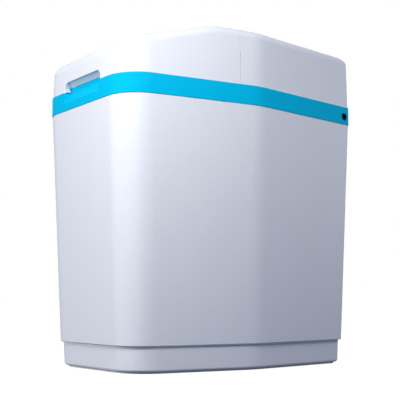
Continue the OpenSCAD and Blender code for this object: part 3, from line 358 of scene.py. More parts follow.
def front_plan(s, v, inset, y_end):
    """The part of the half plan in front of a depth, with stops where the lid's crown bends."""
    stops = crease_stops(s, v)
    head = [p for p in half_plan(s, v, inset, inset, inset) if p[1] < stops[0]]
    tail = [np.array((side_line(s, v, y, inset), y)) for y in [*stops, y_end]]
    return head + tail


def rear_plan(s, v, side, end, cut, y_start):
    """The part of the half plan behind a depth."""
    head = [np.array((side_line(s, v, y_start, side), y_start))]
    return head + [p for p in half_plan(s, v, side, end, cut) if p[1] > y_start]


def crown(s, v, y):
    """Height of the lid's top: a slope that turns softly into a flat stretch."""
    u, half = y - v.crease, s.crease_run / 2
    if u >= half:
        return v.top
    if u <= -half:
        return v.top + v.slope * u
    return v.top - v.slope * (half - u) ** 2 / (4 * half)


def mirrored(right):
    """A whole outline from the points of its right half."""
    return right + [(-x, y, z) for x, y, z in reversed(right)]


def level_ring(half, z):
    """A whole level outline from its right half."""
    return mirrored([(p[0], p[1], z) for p in half])


def even_ring(s, v, inset, z):
    """A whole level outline that is set in alike all round from the band's face."""
    return level_ring(half_plan(s, v, inset, inset, inset), z)


# Mesh tools


def new_object(name, data):
    obj = bpy.data.objects.new(name, data)
    bpy.context.scene.collection.objects.link(obj)
    return obj


def from_bmesh(name, bm):
    bmesh.ops.recalc_face_normals(bm, faces=bm.faces)
    mesh = bpy.data.meshes.new(name)
    bm.to_mesh(mesh)
    bm.free()
    return new_object(name, mesh)


def loft(name, rings, loop=False):
    """A closed mesh through rings of equal length: capped at both ends, or joined last to first."""
    n, count = len(rings[0]), len(rings)
    bm = bmesh.new()
    points = [bm.verts.new(p) for ring in rings for p in ring]
    for k in range(count if loop else count - 1):
        for i in range(n):
            j, up = (i + 1) % n, (k + 1) % count
            bm.faces.new((points[k * n + i], points[k * n + j], points[up * n + j], points[up * n + i]))
    if not loop:
        for base in (0, (count - 1) * n):
            for i in range(n // 2 - 1):
                quad = (i, i + 1, n - 2 - i, n - 1 - i)
                bm.faces.new([points[base + q] for q in quad])
    bmesh.ops.remove_doubles(bm, verts=bm.verts, dist=MERGE)
    return from_bmesh(name, bm)


def box(name, low, high):
    bm = bmesh.new()
    bmesh.ops.create_cube(bm, size=1)
    size = Vector(high) - Vector(low)
    middle = (Vector(high) + Vector(low)) / 2
    matrix = Matrix.Translation(middle) @ Matrix.Diagonal((*size, 1))
    bmesh.ops.transform(bm, matrix=matrix, verts=bm.verts)
    return from_bmesh(name, bm)


def turned(name, profile, origin, axis, steps=BAR_STEPS):
    """A solid turned about an axis from a profile of (along, radius) pairs that starts and ends on it."""
    turn = Vector((0, 0, 1)).rotation_difference(Vector(axis)).to_matrix().to_4x4()
    bm = bmesh.new()
    rings = []
    for along, radius in profile:
        if radius < MERGE:
            rings.append([bm.verts.new((0, 0, along))])
            continue
        spots = [2 * math.pi * i / steps for i in range(steps)]
        rings.append([bm.verts.new((radius * math.cos(t), radius * math.sin(t), along)) for t in spots])
    for a, b in zip(rings, rings[1:]):
        for i in range(steps):
            j = (i + 1) % steps
            face = [*dict.fromkeys((a[i % len(a)], a[j % len(a)], b[j % len(b)], b[i % len(b)]))]
            if len(face) > 2:
                bm.faces.new(face)
    bmesh.ops.transform(bm, matrix=Matrix.Translation(Vector(origin)) @ turn, verts=bm.verts)
    return from_bmesh(name, bm)


def rod(name, centre, axis, radius, span, steps=BAR_STEPS):
    """A plain round bar with its middle at centre."""
    half = span / 2
    return turned(name, [(-half, 0), (-half, radius), (half, radius), (half, 0)], centre, axis, steps)


def extruded(name, near, far):
    """A closed solid between two flat outlines with as many points each."""
    bm = bmesh.new()
    first = [bm.verts.new(p) for p in near]
    last = [bm.verts.new(p) for p in far]
    bm.faces.new(first)
    bm.faces.new(last)
    for i in range(len(first)):
        j = (i + 1) % len(first)
        bm.faces.new((first[i], first[j], last[j], last[i]))
    return from_bmesh(name, bm)


def plate(name, width, low, high, corner, y_low, y_high, flare=0.0, steps=ROUND_STEPS):
    """A plate across Y whose outline in X and Z has round corners, and is wider by flare at y_low."""
    near, far = [], []
    for sx, sz, start in ((1, 1, 0), (-1, 1, 90), (-1, -1, 180), (1, -1, 270)):
        cx, cz = sx * (width / 2 - corner), (high - corner if sz > 0 else low + corner)
        for i in range(steps + 1):
            t = math.radians(start + 90 * i / steps)
            for side, y, radius in ((near, y_low, corner + flare), (far, y_high, corner)):
                side.append((cx + radius * math.cos(t), y, cz + radius * math.sin(t)))
    return extruded(name, near, far)


def plain_mesh(obj):
    """Puts the result of the object's modifiers in place of its mesh."""
    bpy.context.view_layer.update()
    graph = bpy.context.evaluated_depsgraph_get()
    mesh = bpy.data.meshes.new_from_object(obj.evaluated_get(graph))
    obj.modifiers.clear()
    old, obj.data = obj.data, mesh
    bpy.data.meshes.remove(old)


def discard(obj):
    """Removes an object with its mesh."""
    mesh = obj.data
    bpy.data.objects.remove(obj)
    bpy.data.meshes.remove(mesh)


def carve(obj, *tools, operation="DIFFERENCE"):
    """Cuts tools out of an object, or does another operation with them, and removes them."""
    for tool in tools:
        cut = obj.modifiers.new("Cut", "BOOLEAN")
        cut.operation = operation
        cut.solver = "EXACT"
        cut.object = tool
        plain_mesh(obj)
        discard(tool)
    return obj


def join(obj, *tools):
    """Joins tools to an object and removes them."""
    return carve(obj, *tools, operation="UNION")


def dress(obj, material, sharp=30.0):
    """Gives a piece its finish and clean shading: smooth rounds, crisp edges and flat faces."""
    obj.data.materials.clear()
    obj.data.materials.append(material)
    for face in obj.data.polygons:
        face.use_smooth = True
        face.material_index = 0
    obj.data.set_sharp_from_angle(angle=math.radians(sharp))
    weights = obj.modifiers.new("Weights", "WEIGHTED_NORMAL")
    weights.keep_sharp = True
    plain_mesh(obj)
    return obj


def stand_for(obj, node):
    """The piece stands for a CAD node: it rides on that node's body, and the node is hidden."""
    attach(obj, BODY_OF[node])
    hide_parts(node)


def hand_over(context, obj, node):
    """Dresses a finished moulding and lets it stand for its CAD node."""
    dress(obj, finishes(context.scene.softener_colours)[SLOT_OF[node]])
    stand_for(obj, node)
    return {"FINISHED"}


def islands(node):
    """The lowest and the highest corner of each separate solid in a CAD node, in order of place."""
    bm = bmesh.new()
    bm.from_mesh(frame["nodes"][node].data)
    bmesh.ops.remove_doubles(bm, verts=bm.verts, dist=MERGE)
    left, boxes = set(bm.verts), []
    while left:
        found = [left.pop()]
        for vert in found:
            fresh = {e.other_vert(vert) for e in vert.link_edges} & left
            left -= fresh
            found.extend(fresh)
        spots = np.array([v.co for v in found])
        boxes.append((Vector(spots.min(0)), Vector(spots.max(0))))
    bm.free()
    return sorted(boxes, key=lambda pair: tuple(pair[0]))


# Finishes


def preset(node, **values):
    """Sets inputs of a node by their names, with underscores for spaces."""
    for label, value in values.items():
        node.inputs[label.replace("_", " ")].default_value = value
    return node


def shader(tree, kind, **values):
    """A new shader node with some of its inputs set."""
    return preset(tree.nodes.new("ShaderNode" + kind), **values)


def use_group(tree, group, **values):
    """A node that holds a node group, with some of its inputs set."""
    node = shader(tree, "Group")
    node.node_tree = group
    return preset(node, **values)


def calc(tree, operation, *values):
    """The result of a sum on numbers and outputs of nodes."""
    node = shader(tree, "Math")
    node.operation = operation
    for socket, value in zip(node.inputs, values):
        if isinstance(value, (int, float)):
            socket.default_value = value
        else:
            tree.links.new(value, socket)
    return node.outputs[0]


def link(tree, *rows):
    """Links nodes: each row is a node, its output, another node and its input."""
    for source, out, target, into in rows:
        tree.links.new(source.outputs[out], target.inputs[into])


def new_group(name, kind, inputs, outputs):
    """A new node tree with its two end nodes, and sockets given as names with the kind of each."""
    tree = bpy.data.node_groups.new(name, kind + "NodeTree")
    for side, sockets in (("INPUT", inputs), ("OUTPUT", outputs)):
        for label, socket in sockets.items():
            tree.interface.new_socket(label, in_out=side, socket_type="NodeSocket" + socket)
    return tree, tree.nodes.new("NodeGroupInput"), tree.nodes.new("NodeGroupOutput")


def grain_group():
    """Fine moulded grain: a mask of slow mottling and a height of fine grain."""
    name = "Moulded Grain"
    if name in bpy.data.node_groups:
        return bpy.data.node_groups[name]
    inputs = {"Vector": "Vector", "Grain Scale": "Float", "Mottle Scale": "Float"}
    outputs = {"Mottle": "Float", "Height": "Float"}
    group, start, end = new_group(name, "Shader", inputs, outputs)
    fine = shader(group, "TexNoise", Detail=3.0, Roughness=0.6)
    slow = shader(group, "TexNoise", Detail=2.0)
    link(
        group,
        (start, "Vector", fine, "Vector"),
        (start, "Vector", slow, "Vector"),
        (start, "Grain Scale", fine, "Scale"),
        (start, "Mottle Scale", slow, "Scale"),
        (slow, "Fac", end, "Mottle"),
        (fine, "Fac", end, "Height"),
    )
    return group


def winding_group():
    """Crossing bands of wound fibre round the two upright tanks, as a value from 0 to 1."""
    name = "Fibre Winding"
    if name in bpy.data.node_groups:
        return bpy.data.node_groups[name]
    numbers = dict.fromkeys(("Across", "Depth", "Turns", "Pitch"), "Float")
    group, start, end = new_group(name, "Shader", {"Vector": "Vector", **numbers}, {"Bands": "Float"})
    parts = shader(group, "SeparateXYZ")
    link(group, (start, "Vector", parts, "Vector"))

    def sum_of(*values):
        return calc(group, *values)

    across = sum_of("SUBTRACT", sum_of("ABSOLUTE", parts.outputs["X"]), start.outputs["Across"])
    depth = sum_of("SUBTRACT", parts.outputs["Y"], start.outputs["Depth"])
    round_way = sum_of("MULTIPLY", sum_of("ARCTAN2", depth, across), start.outputs["Turns"])
    up_way = sum_of("DIVIDE", sum_of("MULTIPLY", parts.outputs["Z"], 2 * math.pi), start.outputs["Pitch"])
    left = sum_of("SINE", sum_of("ADD", round_way, up_way))
    right = sum_of("SINE", sum_of("SUBTRACT", round_way, up_way))
    both = sum_of("MULTIPLY", sum_of("ADD", sum_of("MAXIMUM", left, right), 1), 0.5)
    group.links.new(both, end.inputs["Bands"])
    return group


def wound(tree, where):
    """The winding of the resin tanks, about the axes of their CAD nodes."""
    low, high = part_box("resin_tank_right")
    across, depth = abs(low[0] + high[0]) / 2, (low[1] + high[1]) / 2
    group = use_group(tree, winding_group(), Across=across, Depth=depth, **WINDING)
    tree.links.new(where, group.inputs["Vector"])
    return group.outputs["Bands"]


def ranged(tree, source, low, high):
    """A value that runs from low to high over the span of the noise that is in use."""
    first, last = NOISE_SPAN
    node = shader(tree, "MapRange", From_Min=first, From_Max=last, To_Min=low, To_Max=high)
    tree.links.new(source, node.inputs["Value"])
    return node.outputs["Result"]


def finish(name, colour, rough, shade=0.03, grain=900.0, bump=0.04, pattern=None, **sockets):
    """A moulded finish with grain, mottling and uneven gloss. A pattern takes over tone and relief."""
    if name in bpy.data.materials:
        return bpy.data.materials[name]
    material = bpy.data.materials.new(name)
    material.use_nodes = True
    tree = material.node_tree
    surface = preset(tree.nodes["Principled BSDF"], **sockets)
    where = shader(tree, "TexCoord")
    group = use_group(tree, grain_group(), Grain_Scale=grain, Mottle_Scale=MOTTLE_SCALE)
    link(tree, (where, "Object", group, "Vector"))
    mottle, height = group.outputs["Mottle"], group.outputs["Height"]
    shading = mottle
    if pattern:
        shading = height = pattern(tree, where.outputs["Object"])
    tone = shader(tree, "Mix")
    tone.data_type = "RGBA"
    dark = [c * (1 - shade) for c in colour]
    light = [min(1, c * (1 + shade)) for c in colour]
    preset(tone, A=(*dark, 1), B=(*light, 1))
    gloss = ranged(tree, mottle, rough - GLOSS_SPREAD, rough + GLOSS_SPREAD)
    relief = shader(tree, "Bump", Strength=bump, Distance=RELIEF_DEPTH)
    tree.links.new(ranged(tree, shading, 0, 1), tone.inputs["Factor"])
    tree.links.new(gloss, surface.inputs["Roughness"])
    tree.links.new(height, relief.inputs["Height"])
    link(tree, (tone, "Result", surface, "Base Color"), (relief, "Normal", surface, "Normal"))
    return material


def finishes(c):
    """Every finish by its slot in the record."""
    return {
        "white_shell": finish(
            "White Moulding", c.cabinet, 0.55, shade=0.006, bump=0.02, Specular_IOR_Level=0.15
        ),
        "blue_band": finish(
            "Band", c.band, 0.5, shade=0.01, bump=0.02, Specular_IOR_Level=0.005, Diffuse_Roughness=0.2
        ),
        "white_inner": finish("Inner Moulding", c.inner, 0.5, shade=0.03),
        "grey_plastic": finish("Grey Moulding", c.grey, 0.55, shade=0.08, bump=0.08),
        "black_plastic": finish("Black Moulding", c.black, 0.5, shade=0.15, bump=0.08),
        "blue_plastic": finish("Blue Moulding", c.accent, 0.38, shade=0.03),
        "black_rubber": finish("Rubber", c.rubber, 0.75, shade=0.2, bump=0.1, Specular_IOR_Level=0.05),
        "tank_shell": finish("Wound Tank", c.tank, 0.4, shade=0.05, bump=0.4, pattern=wound),
        "resin": finish("Resin Beads", c.resin, 0.5, shade=0.25, grain=1200.0, bump=0.5),
        "steel": finish("Steel", c.steel, 0.28, shade=0.04, Metallic=1.0),
        "clear_plastic": finish("Clear Cover", c.clear, 0.12, shade=0.01, bump=0.0, Alpha=0.28),
        "tube_plastic": finish("Semi-clear Tube", c.tube, 0.35, shade=0.03, Alpha=0.75),
    }


# Operators


class SOFTENER_OT_tub(bpy.types.Operator):
    """Build the tub with its stepped plinth and rim"""

    bl_idname = "softener.tub"
    bl_label = "Tub"

    def execute(self, context):
        s, v = sizes_of(context)

        def lean_in(z, step=0.0):
            """Set-in of the tub's sides and ends at a height."""
            drop = s.tub_height - z
            side = s.band_proud + drop * math.tan(s.side_lean) + step
            return side, s.band_proud + drop * math.tan(s.end_lean) + step

        def ring(z, step=0.0, more=0.0, cut=0.0):
            side, end = lean_in(z, step)
            return level_ring(half_plan(s, v, side + more, end + more, cut), z)

        def foot(z):
            side, end = lean_in(0, s.plinth_step)
            more = s.base_edge + FOOT_SET_IN
            return level_ring(half_plan(s, v, side + more, end + more, 0), z)

        rings = [foot(0), foot(s.foot_height)]
        for rise, inset in rounding(s.base_edge, ROUND_STEPS):
            rings.append(ring(s.foot_height + rise, s.plinth_step, inset))
        rings.append(ring(s.plinth_height, s.plinth_step))
        for rise, inset in rounding(s.tub_edge, ROUND_STEPS):
            rings.append(ring(s.plinth_height + rise, 0, inset))
        rings.append(ring(s.tub_height))
        for z in (s.tub_height, v.rim_top):
            rings.append(even_ring(s, v, v.rim_out, z))
        for z in (v.rim_top, s.tub_height):
            rings.append(even_ring(s, v, v.rim_in, z))
        for z in (s.tub_height - RIM_TAPER, v.ledge):
            rings.append(ring(z, 0, s.tub_wall, s.tub_wall))
        rings.append(ring(v.ledge, s.plinth_step, s.tub_wall, s.tub_wall))
        for more, rise in rounding(FLOOR_FILLET, ROUND_STEPS):
            inset = s.tub_wall + more
            rings.append(ring(s.floor_wall + rise, s.plinth_step, inset, inset))
        tub = loft("tub_body", rings)
        room = s.grip_width / 2 + 2 * v.grip_wall + 4 * s.seat_gap
        inside = -v.half + v.rim_in
        carve(
            tub,
            box("Cup room", (-room, -v.half, s.tub_height), (room, inside + CUP_ROOM, v.band_top)),
            rod("Hose way", v.grommet, v.grommet_axis, s.grommet_flange + 2 * s.seat_gap, 4 * v.rim_in),
        )
        return hand_over(context, tub, "tub")


class SOFTENER_OT_collar(bpy.types.Operator):
    """Build the coloured band with its lip and the scooped half of the finger recess"""

    bl_idname = "softener.collar"
    bl_label = "Collar"

    def execute(self, context):
        s, v = sizes_of(context)
        low, edge = s.tub_height + s.seat_gap, s.band_edge
        profile = [(inset, low + rise) for rise, inset in rounding(edge, EDGE_STEPS)]
        profile += [(inset, v.band_top - drop) for inset, drop in rounding(edge, EDGE_STEPS)]
        profile += [(v.lip_out, v.band_top), (v.lip_out, v.lip_top), (v.lip_in, v.lip_top)]
        profile += [(v.lip_in, v.rim_top), (s.band_wall, v.rim_top), (s.band_wall, low)]
        rings = [even_ring(s, v, inset, z) for inset, z in profile]
        collar = loft("collar_band", rings, loop=True)
        room = s.grip_width / 2 + v.grip_wall + 2 * s.seat_gap
        half_cup = room + v.grip_wall
        heel = -v.half + s.grip_depth
        back = heel + v.grip_wall
        cup = box("Cup", (-half_cup, -v.half + HAIR, low), (half_cup, back, v.band_top))
        lip = box("Cup lip", (-half_cup, -v.half + v.lip_out, v.rim_top), (half_cup, back, v.lip_top))
        join(cup, lip)
        axis_point = (0, -v.half - v.scoop_out, v.lip_top)
        across = (1, 0, 0)
        limit = v.scoop_radius + v.grip_wall
        outside = rod("Cup limit", axis_point, across, limit, 2 * half_cup, CUP_STEPS)
        carve(cup, outside, operation="INTERSECT")
        join(collar, cup)
        span, reach = s.grip_width / 2, v.scoop_radius
        ends = rounding(SCOOP_EDGE, EDGE_STEPS)
        profile = [(-span, 0), *[(-span + along, reach - down) for along, down in ends]]
        profile += [(span - along, reach - down) for along, down in reversed(ends)]
        profile += [(span, 0)]
        notch, behind = s.notch_width / 2, v.half - v.lip_in - MARGIN
        carve(
            collar,
            turned("Scoop", profile, axis_point, across, SCOOP_STEPS),
            rod("Grommet hole", v.grommet, v.grommet_axis, s.grommet_neck, 4 * v.rim_in),
            box("Pipe way", (-notch, behind, v.band_top), (notch, v.half - edge, WAY_TOP)),
            box("End wall room", (-room, -v.half - edge, v.band_top), (room, heel, v.top)),
        )
        for x in (-s.screw_place, s.screw_place):
            spot = (x, v.half - v.rim_in, v.screw_level)
            carve(collar, rod("Screw hole", spot, (0, 1, 0), s.screw_radius, SCREW_HOLE))
        return hand_over(context, collar, "collar")


def lip_room(s, v, y):
    """Room for the band's lip under a wall at the seam."""
    w = side_line(s, v, y, v.lid_in)
    top = v.lip_top + 2 * s.seat_gap
    return box("Lip room", (-w, y, v.lid_bottom - MARGIN), (w, y + s.lid_wall + 2 * MARGIN, top))


def round_top(s, v, plan, ring):
    """Rings of a lid from its inner crown down, round its lower edge, and up to its outer crown."""
    lean = s.lid_setback + s.lid_lean
    rings = []
    for inset, drop in reversed(rounding(s.top_edge - s.lid_wall, ROUND_STEPS)):
        rings.append(ring(plan(lean + s.lid_wall + inset, True), s.lid_wall + drop))
    rings.append(level_ring(plan(v.lid_in, True), v.lid_bottom))
    rings.append(level_ring(plan(s.lid_setback, False), v.lid_bottom))
    for inset, drop in rounding(s.top_edge, ROUND_STEPS):
        rings.append(ring(plan(lean + inset, False), drop))
    return rings


def knuckles(s, v, span, offsets, side):
    """Hinge knuckles with webs that reach to the front (side -1) or to the rear (side 1)."""
    web = v.hinge_cut + 2 * MARGIN
    made = []
    for x in (-s.hinge_place, s.hinge_place):
        for offset in offsets:
            middle = Vector((x + offset, v.seam, v.top))
            barrel = rod("Knuckle", middle, (1, 0, 0), s.knuckle_radius, span, PIN_STEPS)
            low = (middle.x - span / 2, min(v.seam, v.seam + side * web), v.top - s.lid_wall)
            high = (middle.x + span / 2, max(v.seam, v.seam + side * web), v.top)
            made.append(join(barrel, box("Web", low, high)))
    return made


def hinge_bars(s, v, radius, span):
    """Round bars on both hinge axes, to cut with."""
    spots = [(x, v.seam, v.top) for x in (-s.hinge_place, s.hinge_place)]
    return [rod("Hinge bar", spot, (1, 0, 0), radius, span, PIN_STEPS) for spot in spots]


def ribs(s, v, y_low, y_high, y_across):
    """Two long ribs and a cross rib that hang from the top of a lid."""
    half = s.rib_wall / 2
    stops = [y_low, *[y for y in crease_stops(s, v) if y_low < y < y_high], y_high]
    reach = side_line(s, v, y_across, v.lid_in + s.lid_lean + s.top_edge)

    def cut(x_low, x_high, y, y_top):
        """A section of a rib, from half way into the lid's wall down."""
        high = crown(s, v, y_top) - s.lid_wall / 2
        low = high - s.lid_wall / 2 - s.rib_height
        return [(x_low, y, high), (x_high, y, high), (x_high, y, low), (x_low, y, low)]

    made = [
        loft("Rib", [cut(x - half, x + half, y, y) for y in stops]) for x in (-s.rib_place, s.rib_place)
    ]
    across = [cut(-reach, reach, y_across + d, y_across) for d in (-half, half)]
    return [*made, loft("Cross rib", across)]


class SOFTENER_OT_front_lid(bpy.types.Operator):
    """Build the sloping salt lid with the upper half of the finger recess"""

    bl_idname = "softener.front_lid"
    bl_label = "Front lid"

    def execute(self, context):
        s, v = sizes_of(context)

        def plan(inset, inside):
            return front_plan(s, v, inset, v.lid_end - (s.lid_wall if inside else 0))

        def ring(half, drop):
            return mirrored([(p[0], p[1], crown(s, v, p[1]) - drop) for p in half])

        lid = loft("salt_lid", round_top(s, v, plan, ring))
        carve(lid, *hinge_bars(s, v, v.hinge_cut, v.hinge_length + 2 * v.knuckle_gap))
        half_grip, back = s.grip_width / 2, -v.half + s.grip_depth
        half_cup, inner = half_grip + v.grip_wall, -v.half + v.lid_in - MARGIN
        over_lip = v.lip_top + 2 * s.seat_gap
        high = (half_cup, back + v.grip_wall, v.grip_ceiling + v.grip_wall)
        join(lid, box("Cup", (-half_cup, inner, over_lip), high))
        for side in (-1, 1):
            x_low, x_high = sorted((side * half_grip, side * half_cup))
            corner = (x_high, back - 2 * s.seat_gap, over_lip + MARGIN)
            join(lid, box("End wall", (x_low, inner, v.band_top + v.grip_gap), corner))
        join(lid, *knuckles(s, v, s.lid_knuckle, (0,), -1))
        join(lid, *ribs(s, v, -v.half + 2 * v.rib_end, v.lid_end - v.rib_end, v.crease))
        carve(
            lid,
            self.pocket(s, v),
            self.opening(s, v, "Bevel", v.lid_in / 2 - v.grip_bevel, v.lid_in / 2, v.grip_bevel),
            lip_room(s, v, v.lid_end - s.lid_wall - MARGIN),
            *hinge_bars(s, v, s.pin_radius + RUN_GAP, v.hinge_length + MARGIN),
        )
        return hand_over(context, lid, "front_lid")

    def opening(self, s, v, name, near, far, flare=0.0):
        """The outline of the recess as a plate between two depths behind the band's face."""
        low, ends = v.band_top - s.grip_drop, (near - v.half, far - v.half)
        return plate(name, s.grip_width, low, v.grip_ceiling, s.grip_corner, *ends, flare)

    def pocket(self, s, v):
        """Room for the fingers: the outline pushed in under a ceiling that slopes to the band's lip."""
        front, back, wide = -v.half - v.grip_wall, -v.half + s.grip_depth, s.grip_width
        brow = np.array((-v.half + v.lid_in, v.grip_ceiling + v.grip_bevel))
        heel = np.array((back, v.lip_top + v.grip_bevel))
        bend = brow + (heel - brow) * np.array(CEILING_BEND)
        shares = [i / ROUND_STEPS for i in range(ROUND_STEPS + 1)]
        slope = [brow * (1 - t) ** 2 + 2 * bend * t * (1 - t) + heel * t**2 for t in shares]
        profile = [(front, s.tub_height), (back, s.tub_height), *slope[::-1], (front, brow[1])]
        ends = [[(x, y, z) for y, z in profile] for x in (-wide, wide)]
        return carve(
            extruded("Pocket", *ends),
            self.opening(s, v, "Outline", -v.grip_wall, 2 * s.grip_depth),
            operation="INTERSECT",
        )


class SOFTENER_OT_rear_cover(bpy.types.Operator):
    """Build the flat rear cover with its hinge knuckles and the opening for the pipes"""

    bl_idname = "softener.rear_cover"
    bl_label = "Rear cover"

    def execute(self, context):
        s, v = sizes_of(context)
        lean = s.lid_setback + s.lid_lean

        def plan(inset, inside):
            """The cover's half plan: past its lean, its rear end draws in further than its sides."""
            wall = s.lid_wall if inside else 0
            drawn = max(0, inset - lean - wall) / (s.top_edge - wall)
            end = inset + drawn * (s.rear_edge - s.top_edge)
            cut = min(inset, lean + wall) - drawn * (s.rear_top_corner - s.rear_corner + lean)
            return rear_plan(s, v, inset, end, cut, v.cover_start + wall)

        def ring(half, drop):
            return level_ring(half, v.top - drop)

        cover = loft("rear_hood", round_top(s, v, plan, ring))
        carve(cover, *hinge_bars(s, v, v.hinge_cut, v.hinge_length + 2 * v.knuckle_gap))
        step = (s.lid_knuckle + s.cover_knuckle) / 2 + v.knuckle_gap
        join(cover, *knuckles(s, v, s.cover_knuckle, (-step, step), 1))
        middle = (v.cover_start + v.tank_depth) / 2
        join(cover, *ribs(s, v, v.cover_start + v.rib_end, v.half - 2 * v.rib_end, middle))
        low, high = v.band_top - 2 * NOTCH_CORNER, v.band_top + s.notch_height
        ends = v.half - 4 * v.lid_in, v.half + v.lid_in
        carve(
            cover,
            *hinge_bars(s, v, s.pin_radius + PRESS_GAP, v.hinge_length + MARGIN),
            lip_room(s, v, v.cover_start - MARGIN),
            plate("Pipe notch", s.notch_width, low, high, NOTCH_CORNER, *ends),
        )
        for x in (-s.screw_place, s.screw_place):
            spot = (x, v.half - v.lid_in / 2, v.screw_level)
            carve(cover, rod("Screw hole", spot, (0, 1, 0), s.screw_radius + s.seat_gap, 3 * v.lid_in))
        return hand_over(context, cover, "rear_cover")


def screw_row():
    """Node tree that puts a screw on every point, each turned by chance about its own axis."""
    name = "Screw Row"
    if name in bpy.data.node_groups:
        return bpy.data.node_groups[name]
    inputs = {"Geometry": "Geometry", "Screw": "Object", "Turn": "Rotation"}
    inputs |= {"Seed": "Int", "Finish": "Material"}
    tree, start, end = new_group(name, "Geometry", inputs, {"Geometry": "Geometry"})
    nodes = tree.nodes
    points = nodes.new("GeometryNodeMeshToPoints")
    source = nodes.new("GeometryNodeObjectInfo")
    put = nodes.new("GeometryNodeInstanceOnPoints")
    chance = nodes.new("FunctionNodeRandomValue")
    spin = nodes.new("ShaderNodeCombineXYZ")
    turn = nodes.new("GeometryNodeRotateInstances")
    real = nodes.new("GeometryNodeRealizeInstances")
    paint = nodes.new("GeometryNodeSetMaterial")
    chance.data_type = "FLOAT"
    floats = [s for s in chance.inputs if s.type == "VALUE" and s.enabled]
    floats[1].default_value = 2 * math.pi
    tree.links.new(next(s for s in chance.outputs if s.enabled), spin.inputs["Z"])
    link(
        tree,
        (start, "Seed", chance, "Seed"),
        (start, "Geometry", points, "Mesh"),
        (start, "Screw", source, "Object"),
        (points, "Points", put, "Points"),
        (source, "Geometry", put, "Instance"),
        (start, "Turn", put, "Rotation"),
        (put, "Instances", turn, "Instances"),
        (spin, "Vector", turn, "Rotation"),
        (turn, "Instances", real, "Geometry"),
        (real, "Geometry", paint, "Geometry"),
        (start, "Finish", paint, "Material"),
        (paint, "Geometry", end, "Geometry"),
    )
    return tree


def screw(head_radius, head_height, radius, span, hexagon):
    """A screw along Z with a round head on z = 0, and a hexagon socket or a slot in it."""
    edge, tip, bevel = 0.6 * head_height, 0.7 * radius, 0.5 * radius
    dome = [(head_height - drop, head_radius - inset) for inset, drop in rounding(edge, DOME_STEPS)]
    profile = [(-span, 0), (-span, tip), (-span + bevel, radius), (0, radius), (0, head_radius)]
    made = turned("Screw", [*profile, *dome, (head_height, 0)], (0, 0, 0), (0, 0, 1), PIN_STEPS)
    if hexagon:
        return carve(made, rod("Socket", (0, 0, head_height), (0, 0, 1), radius, head_height, 6))
    wide, deep = 0.25 * head_radius, 0.5 * head_height
    corner = Vector((2 * head_radius, wide / 2, 2 * head_height))
    return carve(made, box("Slot", (-corner.x, -corner.y, head_height - deep), corner))


class SOFTENER_OT_screws(bpy.types.Operator):
    """Put round-headed screws where the CAD screws are"""

    bl_idname = "softener.screws"
    bl_label = "Screws"

    def execute(self, context):
        up, back = Vector((0, 0, 1)), Vector((0, 1, 0))
        # Node, axis, height of the head, radius of the head in radii of the shank, hexagon socket
        rows = (
            ("cover_screws", back, 0.0012, 2.0, False),
            ("valve_screws", up, 0.00234, 1.8, True),
            ("cap_screws", up, 0.00234, 1.8, True),
        )
        finish_of = finishes(context.scene.softener_colours)
        for seed, (node, axis, head_height, head_share, hexagon) in enumerate(rows):
            boxes = islands(node)
            size = boxes[0][1] - boxes[0][0]
            span, head_radius = size.dot(axis), size.x / 2
            shank = span - head_height
            template = screw(head_radius, head_height, head_radius / head_share, shank, hexagon)
            metal = finish_of[SLOT_OF[node]]
            dress(template, metal)
            to_seat = axis * (span / 2 - head_height)
            seats = [(low + high) / 2 + to_seat for low, high in boxes]
            mesh = bpy.data.meshes.new(node)
            mesh.from_pydata(seats, [], [])
            row = new_object(node + "_row", mesh)
            tree = screw_row()
            put = row.modifiers.new("Row", "NODES")
            put.node_group = tree
            turn = up.rotation_difference(axis).to_euler()
            values = {"Screw": template, "Turn": turn, "Seed": seed, "Finish": metal}
            for item in tree.interface.items_tree:
                if item.in_out == "INPUT" and item.name in values:
                    put[item.identifier] = values[item.name]
            plain_mesh(row)
            discard(template)
            stand_for(row, node)
        return {"FINISHED"}


class SOFTENER_OT_mouldings(bpy.types.Operator):
    """Give every carried-over piece of the valve head, the tanks and the brine set its finish"""

    bl_idname = "softener.mouldings"
    bl_label = "Inner pieces"

    def execute(self, context):
        made = finishes(context.scene.softener_colours)
        for name, node in frame["nodes"].items():
            node.data.materials.clear()
            node.data.materials.append(made[SLOT_OF[name]])
        return {"FINISHED"}


def look(obj, spot, aim):
    """Puts an object on a spot and turns it to look at a point."""
    obj.location = spot
    obj.rotation_euler = (Vector(aim) - Vector(spot)).to_track_quat("-Z", "Y").to_euler()


def lamp(name, size, watts, colour):
    """A soft square lamp."""
    data = bpy.data.lights.new(name, "AREA")
    data.shape = "SQUARE"
    data.size = size
    data.energy = watts
    data.color = colour
    return new_object(name, data)


def seen_rays(tree):
    """A value of 1 on rays that show the background: from the camera, off gloss and through glass."""
    path = shader(tree, "LightPath")
    value = path.outputs["Is Camera Ray"]
    for kind in ("Is Glossy Ray", "Is Transmission Ray"):
        value = calc(tree, "MAXIMUM", value, path.outputs[kind])
    return value


def blend(tree, share, first, second, output):
    """Mixes two shaders by a share of the second and links the result to an output node."""
    mix = shader(tree, "MixShader")
    for source, socket in zip((share, first.outputs[0], second.outputs[0]), mix.inputs):
        tree.links.new(source, socket)
    link(tree, (mix, "Shader", tree.nodes[output], "Surface"))


